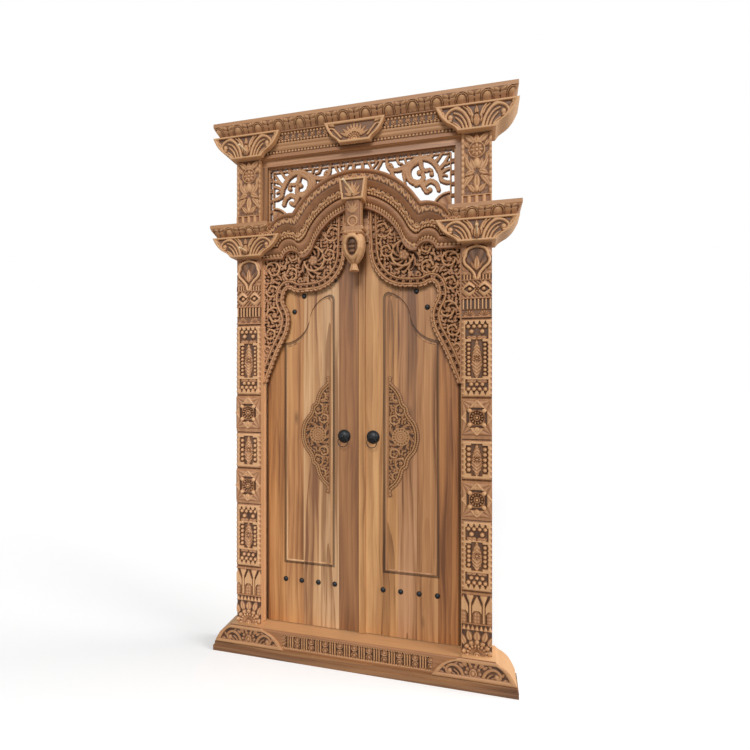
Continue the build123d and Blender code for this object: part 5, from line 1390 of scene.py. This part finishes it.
class DOOR_OT_ironwork(bpy.types.Operator):
    """Turn the domed bosses and nail heads, and bend the rings."""
    bl_idname = "door.ironwork"
    bl_label = "Ironwork"

    def execute(self, context):
        iron = finish("blackened_forged_iron", black_iron)
        for side, word in SIDES:
            low, high = box_mm(word + "_pull_boss")
            x, z = (low[0] + high[0]) / 2, (low[2] + high[2]) / 2
            angle = np.linspace(0, np.pi / 2, 14)
            arc = np.stack([4 + 18 * np.sin(angle), 30 * np.cos(angle) + 0.4], 1)
            profile = np.concatenate([[(0, 0.4), (0, 33), (2.5, 33), (4, 31.5)], arc])
            turned(word + "_pull_boss_dome", profile, (x, LEAF_FACE, z), 40, body=word + "_leaf", material=iron,
                   slot="black_iron", nodes=[word + "_pull_boss"], sharp=50)
            low, high = box_mm(word + "_pull_ring")
            centre = ((low[0] + high[0]) / 2, (low[1] + high[1]) / 2, (low[2] + high[2]) / 2)
            a, b = np.meshgrid(np.linspace(0, 2 * np.pi, 49)[:-1], np.linspace(0, 2 * np.pi, 13)[:-1], indexing="ij")
            radius = 24.5 + 2 * np.cos(b)
            points = np.stack([radius * np.cos(a), 2 * np.sin(b), radius * np.sin(a)], -1) + centre
            put(word + "_pull_ring_wire", points.reshape(-1, 3), loop_quads(*a.shape), [], np.ones(a.size),
                word + "_ring", iron, "black_iron", [word + "_pull_ring"])
            # Studs: a level row over the foot, and one along the panel's swan neck
            places = [(share, 361.0) for share in (0.245, 0.42, 0.6, 0.775)]
            places += [(u, 1691.5 + 195 * v) for u, v in ((0.245, 1.0), (0.42, 0.87), (0.575, 0.62), (0.68, 0.22))]
            rings, sides = 9, 24
            angle = np.linspace(0, np.pi / 2, rings)[:, None]
            spin = np.linspace(0, 2 * np.pi, sides, endpoint=False)[None]
            radius = 12.6 * np.cos(angle) + 0.4
            rise = LEAF_FACE - 9 * np.sin(angle) + 0 * spin
            head = np.stack([radius * np.cos(spin), rise, radius * np.sin(spin)], -1).reshape(-1, 3)
            points = np.concatenate([head + (side * (LEAF_EDGE + LEAF_WIDTH * u), 0, z) for u, z in places])
            starts = len(head) * np.arange(len(places))
            quads = np.concatenate([grid_quads(rings, sides, wrap=True) + start for start in starts])
            rim = np.arange(sides)
            caps = [rim[::-1] + start for start in starts] + [rim + len(head) - sides + start for start in starts]
            put(word + "_leaf_studs_domes", points, quads, caps, np.ones(len(points)), word + "_leaf", iron,
                "black_iron", [word + "_leaf_studs"])
            clothe(word + "_pull_staple", iron)
        return {"FINISHED"}


# Plain boards

def panel_line(inset):
    """Points of a leaf panel's outline drawn in by an inset: straight sides and a swan-neck top."""
    inner, outer, low, high, shoulder = 124 + inset, 397 - inset, 444 + inset, 1816 - inset, 1574 - inset
    wide, fall = outer - inner, high - shoulder
    steps = (((inner, high - 0.1 * wide), 0, 12), ((inner + 0.1 * wide, high), 0.2, 8),
             ((inner + 0.5 * wide, high - 0.54 * fall), 0.16, 22), ((outer, shoulder), -0.16, 22),
             ((outer, low), 0, 12),
             ((inner, low), 0, 4))
    starts = ((inner, low),) + tuple(step[0] for step in steps)
    return np.concatenate([arc_between(a, b, rise, count) for a, (b, rise, count) in zip(starts, steps)])


def panel_moulding(word, side):
    """Moulding in the groove round a leaf's panel: a closed section, a slope with a roll, carried round the outline
    at insets of 9 to 21 mm."""
    section = ((9, 13.9), (10.5, 11.4), (12.5, 9.2), (14.5, 8), (17, 7.7), (19.5, 8.4), (21, 10.2), (21, 13), (9, 14.4))
    points = np.stack([np.insert(panel_line(a), 1, b, axis=1) for a, b in section], 1)
    points[..., 0] *= side
    quads = loop_quads(*points.shape[:2])[:, ::side]
    points = points.reshape(-1, 3)
    put(word + "_panel_moulding", points, quads, [], np.ones(len(points)), word + "_leaf",
        bpy.data.materials["oiled_teak_" + word + "_middle"], "leaf_teak", [])


class DOOR_OT_boards(bpy.types.Operator):
    """Finish the leaf planks, ledges, rails, plinth and pegs with sawn and planed teak."""
    bl_idname = "door.boards"
    bl_label = "Plain boards"

    def execute(self, context):
        # Pale, middle and dark tone of each plank; the planks differ in tone, and most of the left leaf's planks are
        # painted lighter, painted light for the stronger light on the left
        tones = {
            "left": {"meeting": ("#A9764B", "#91613D", "#644126"), "inner": ("#E3BD93", "#D0A377", "#9A6E48"),
                     "middle": ("#DDB184", "#C59363", "#86593A"), "outer": ("#D19A62", "#B98050", "#84552F"),
                     "hinge": ("#C98F58", "#B17845", "#7B4C2A"), "ledge": ("#B98654", "#946138", "#6B4427")},
            "right": {"meeting": ("#D8A46D", "#C08B58", "#8E5F3A"), "inner": ("#CE9862", "#B6814F", "#80542F"),
                      "middle": ("#C6936A", "#AB784E", "#724A2C"), "outer": ("#C5905F", "#AB7649", "#764B2B"),
                      "hinge": ("#C0854F", "#A66D3E", "#704322"), "ledge": ("#B98654", "#946138", "#6B4427")},
        }
        for number, (word, node) in enumerate((w, n) for w in tones for n in tones[w]):
            names = [word + "_leaf_lower_ledge", word + "_leaf_upper_ledge"] if node == "ledge" else [
                word + "_leaf_" + node + "_plank"]
            shades = [srgb(code) for code in tones[word][node]]
            low, high = box_mm(names[0])
            material = finish("oiled_teak_" + word + "_" + node, sawn_teak, *shades,
                              along="X" if node == "ledge" else "Z",
                              shift=(0.37 * number, 0.21 * number, 0.53 * number),
                              heart=None if node == "ledge" else (low[0] + high[0]) / 2 * MM,
                              tongues=0.17 if node in ("inner", "middle") else 0.06)
            if word == "right" and node == "inner":
                names.append("meeting_strip")
                # A lip in the joint between the leaves keeps the light out
                wrapped("meeting_lip", np.array([[-1.6, -1.6, 2.5, 2.5]]), np.array([[40.0, 16.0, 16.0, 40.0]]),
                        np.array([[139.0], [2059.0]]), np.array([[0.5]]), 1, body="right_leaf", material=material,
                        slot="leaf_teak", nodes=[])
            for name in names:
                clothe(name, material)
        plain = finish("oiled_teak_rail", sawn_teak, srgb("#A87A50"), srgb("#8A6040"), srgb("#64432B"), along="X",
                       shift=(0.9, 0.4, 0.1))
        clothe("base_plinth", plain)
        rail = finish("oiled_teak_transom_rail", sawn_teak, srgb("#DDA877"), srgb("#BC885E"), srgb("#8A6042"),
                      along="X", shift=(0.4, 0.7, 0.6))
        for name in ("head_rail", "transom_top_rail"):
            clothe(name, rail)
        stile = finish("oiled_teak_stile", sawn_teak, srgb("#A87849"), srgb("#85572F"), srgb("#603B1F"),
                       shift=(0.2, 0.8, 0.3))
        for name in ("left_transom_stile", "right_transom_stile"):
            clothe(name, stile)
        clothe("assembly_pegs", finish("raw_teak_peg", sawn_teak, srgb("#F2DDB6"), srgb("#E8C99A"), srgb("#D2AC78")))
        for side, word in SIDES:
            panel_moulding(word, side)
        return {"FINISHED"}


# Studio

class DOOR_OT_stage(bpy.types.Operator):
    """Set the floor, the white surround, the two soft suns and the camera."""
    bl_idname = "door.stage"
    bl_label = "Studio"

    def execute(self, context):
        scene = context.scene
        scene.view_settings.view_transform = "Standard"
        world = bpy.data.worlds.new("studio")
        scene.world = world
        world.use_nodes = True
        tree = world.node_tree
        tree.nodes.clear()
        rays = add(tree, "ShaderNodeLightPath")
        seen = add(tree, "ShaderNodeMath", {0: rays.outputs["Is Camera Ray"], 1: rays.outputs["Is Glossy Ray"]},
                   operation="MAXIMUM")
        seen = add(tree, "ShaderNodeMath", {0: seen, 1: rays.outputs["Is Transmission Ray"]},
                   operation="MAXIMUM")
        soft = add(tree, "ShaderNodeBackground", {"Color": (1, 1, 1, 1), "Strength": 0.16})
        white = add(tree, "ShaderNodeBackground", {"Color": (1, 1, 1, 1), "Strength": 1.0})
        both = add(tree, "ShaderNodeMixShader", {0: seen, 1: soft, 2: white})
        add(tree, "ShaderNodeOutputWorld", {"Surface": both})
        mesh = bpy.data.meshes.new("studio_floor")
        mesh.from_pydata([(-30, -7, -0.0005), (30, -7, -0.0005), (30, 40, -0.0005), (-30, 40, -0.0005)], [],
                         [(0, 1, 2, 3)])
        floor = bpy.data.objects.new("studio_floor", mesh)
        scene.collection.objects.link(floor)
        # Matt white floor: it glows a little to the camera, so that lit it is as white as the surround
        material, tree = new_material("matt_white_floor")
        rays = add(tree, "ShaderNodeLightPath")
        matt = add(tree, "ShaderNodeBsdfDiffuse", {"Color": srgb("#E0E0E0")})
        glow = add(tree, "ShaderNodeEmission", {"Strength": 0.325})
        bright = add(tree, "ShaderNodeAddShader", {0: matt, 1: glow})
        bounce = add(tree, "ShaderNodeBsdfDiffuse", {"Color": srgb("#BABABA")})
        both = add(tree, "ShaderNodeMixShader", {0: rays.outputs["Is Camera Ray"], 1: bounce, 2: bright})
        add(tree, "ShaderNodeOutputMaterial", {"Surface": both})
        mesh.materials.append(material)
        # A soft key from the right draws the shadow on the floor; a broad fill lights the front
        for name, power, spread, rise, right in (("key_sun", 3.0, 40, 28, 90), ("fill_sun", 2.0, 24, 33, 4)):
            data = bpy.data.lights.new(name, "SUN")
            data.energy = power
            data.angle = math.radians(spread)
            sun = bpy.data.objects.new(name, data)
            sun.rotation_euler = (math.radians(90 - rise), 0, math.radians(right))
            scene.collection.objects.link(sun)
        data = bpy.data.cameras.new("photo_camera")
        data.sensor_width = 36
        data.lens = 20.8
        camera = bpy.data.objects.new("photo_camera", data)
        camera.location = (0.5732, -2.0615, 1.4061)
        camera.rotation_euler = (math.pi / 2 + 0.0019, 0, 0.2322)
        scene.collection.objects.link(camera)
        scene.camera = camera
        return {"FINISHED"}


class DOOR_PT_panel(bpy.types.Panel):
    """Sidebar list of the door's steps."""
    bl_label = "Carved Teak Door"
    bl_idname = "DOOR_PT_panel"
    bl_space_type = "VIEW_3D"
    bl_region_type = "UI"
    bl_category = "Door"

    def draw(self, context):
        for group in (context.scene.door_sizes, context.scene.door_colours):
            for key in group.__annotations__:
                self.layout.prop(group, key)
        for step in STEPS:
            self.layout.operator(step.bl_idname)


STEPS = (DOOR_OT_boards, DOOR_OT_jambs, DOOR_OT_upper_posts, DOOR_OT_capitals, DOOR_OT_cornices, DOOR_OT_frieze,
         DOOR_OT_base, DOOR_OT_arch, DOOR_OT_spandrels, DOOR_OT_transom, DOOR_OT_medallions, DOOR_OT_pendant,
         DOOR_OT_ironwork, DOOR_OT_stage)
CLASSES = (DoorSizes, DoorColours) + STEPS + (DOOR_PT_panel,)


def register():
    """Register the classes and hang the settings on the scene."""
    for item in CLASSES:
        bpy.utils.register_class(item)
    bpy.types.Scene.door_sizes = PointerProperty(type=DoorSizes)
    bpy.types.Scene.door_colours = PointerProperty(type=DoorColours)


def unregister():
    """Undo register."""
    del bpy.types.Scene.door_colours
    del bpy.types.Scene.door_sizes
    for item in reversed(CLASSES):
        bpy.utils.unregister_class(item)


def main():
    """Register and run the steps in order."""
    register()
    for step in STEPS:
        group, name = step.bl_idname.split(".")
        getattr(getattr(bpy.ops, group), name)()


if __name__ == "__main__":
    main()
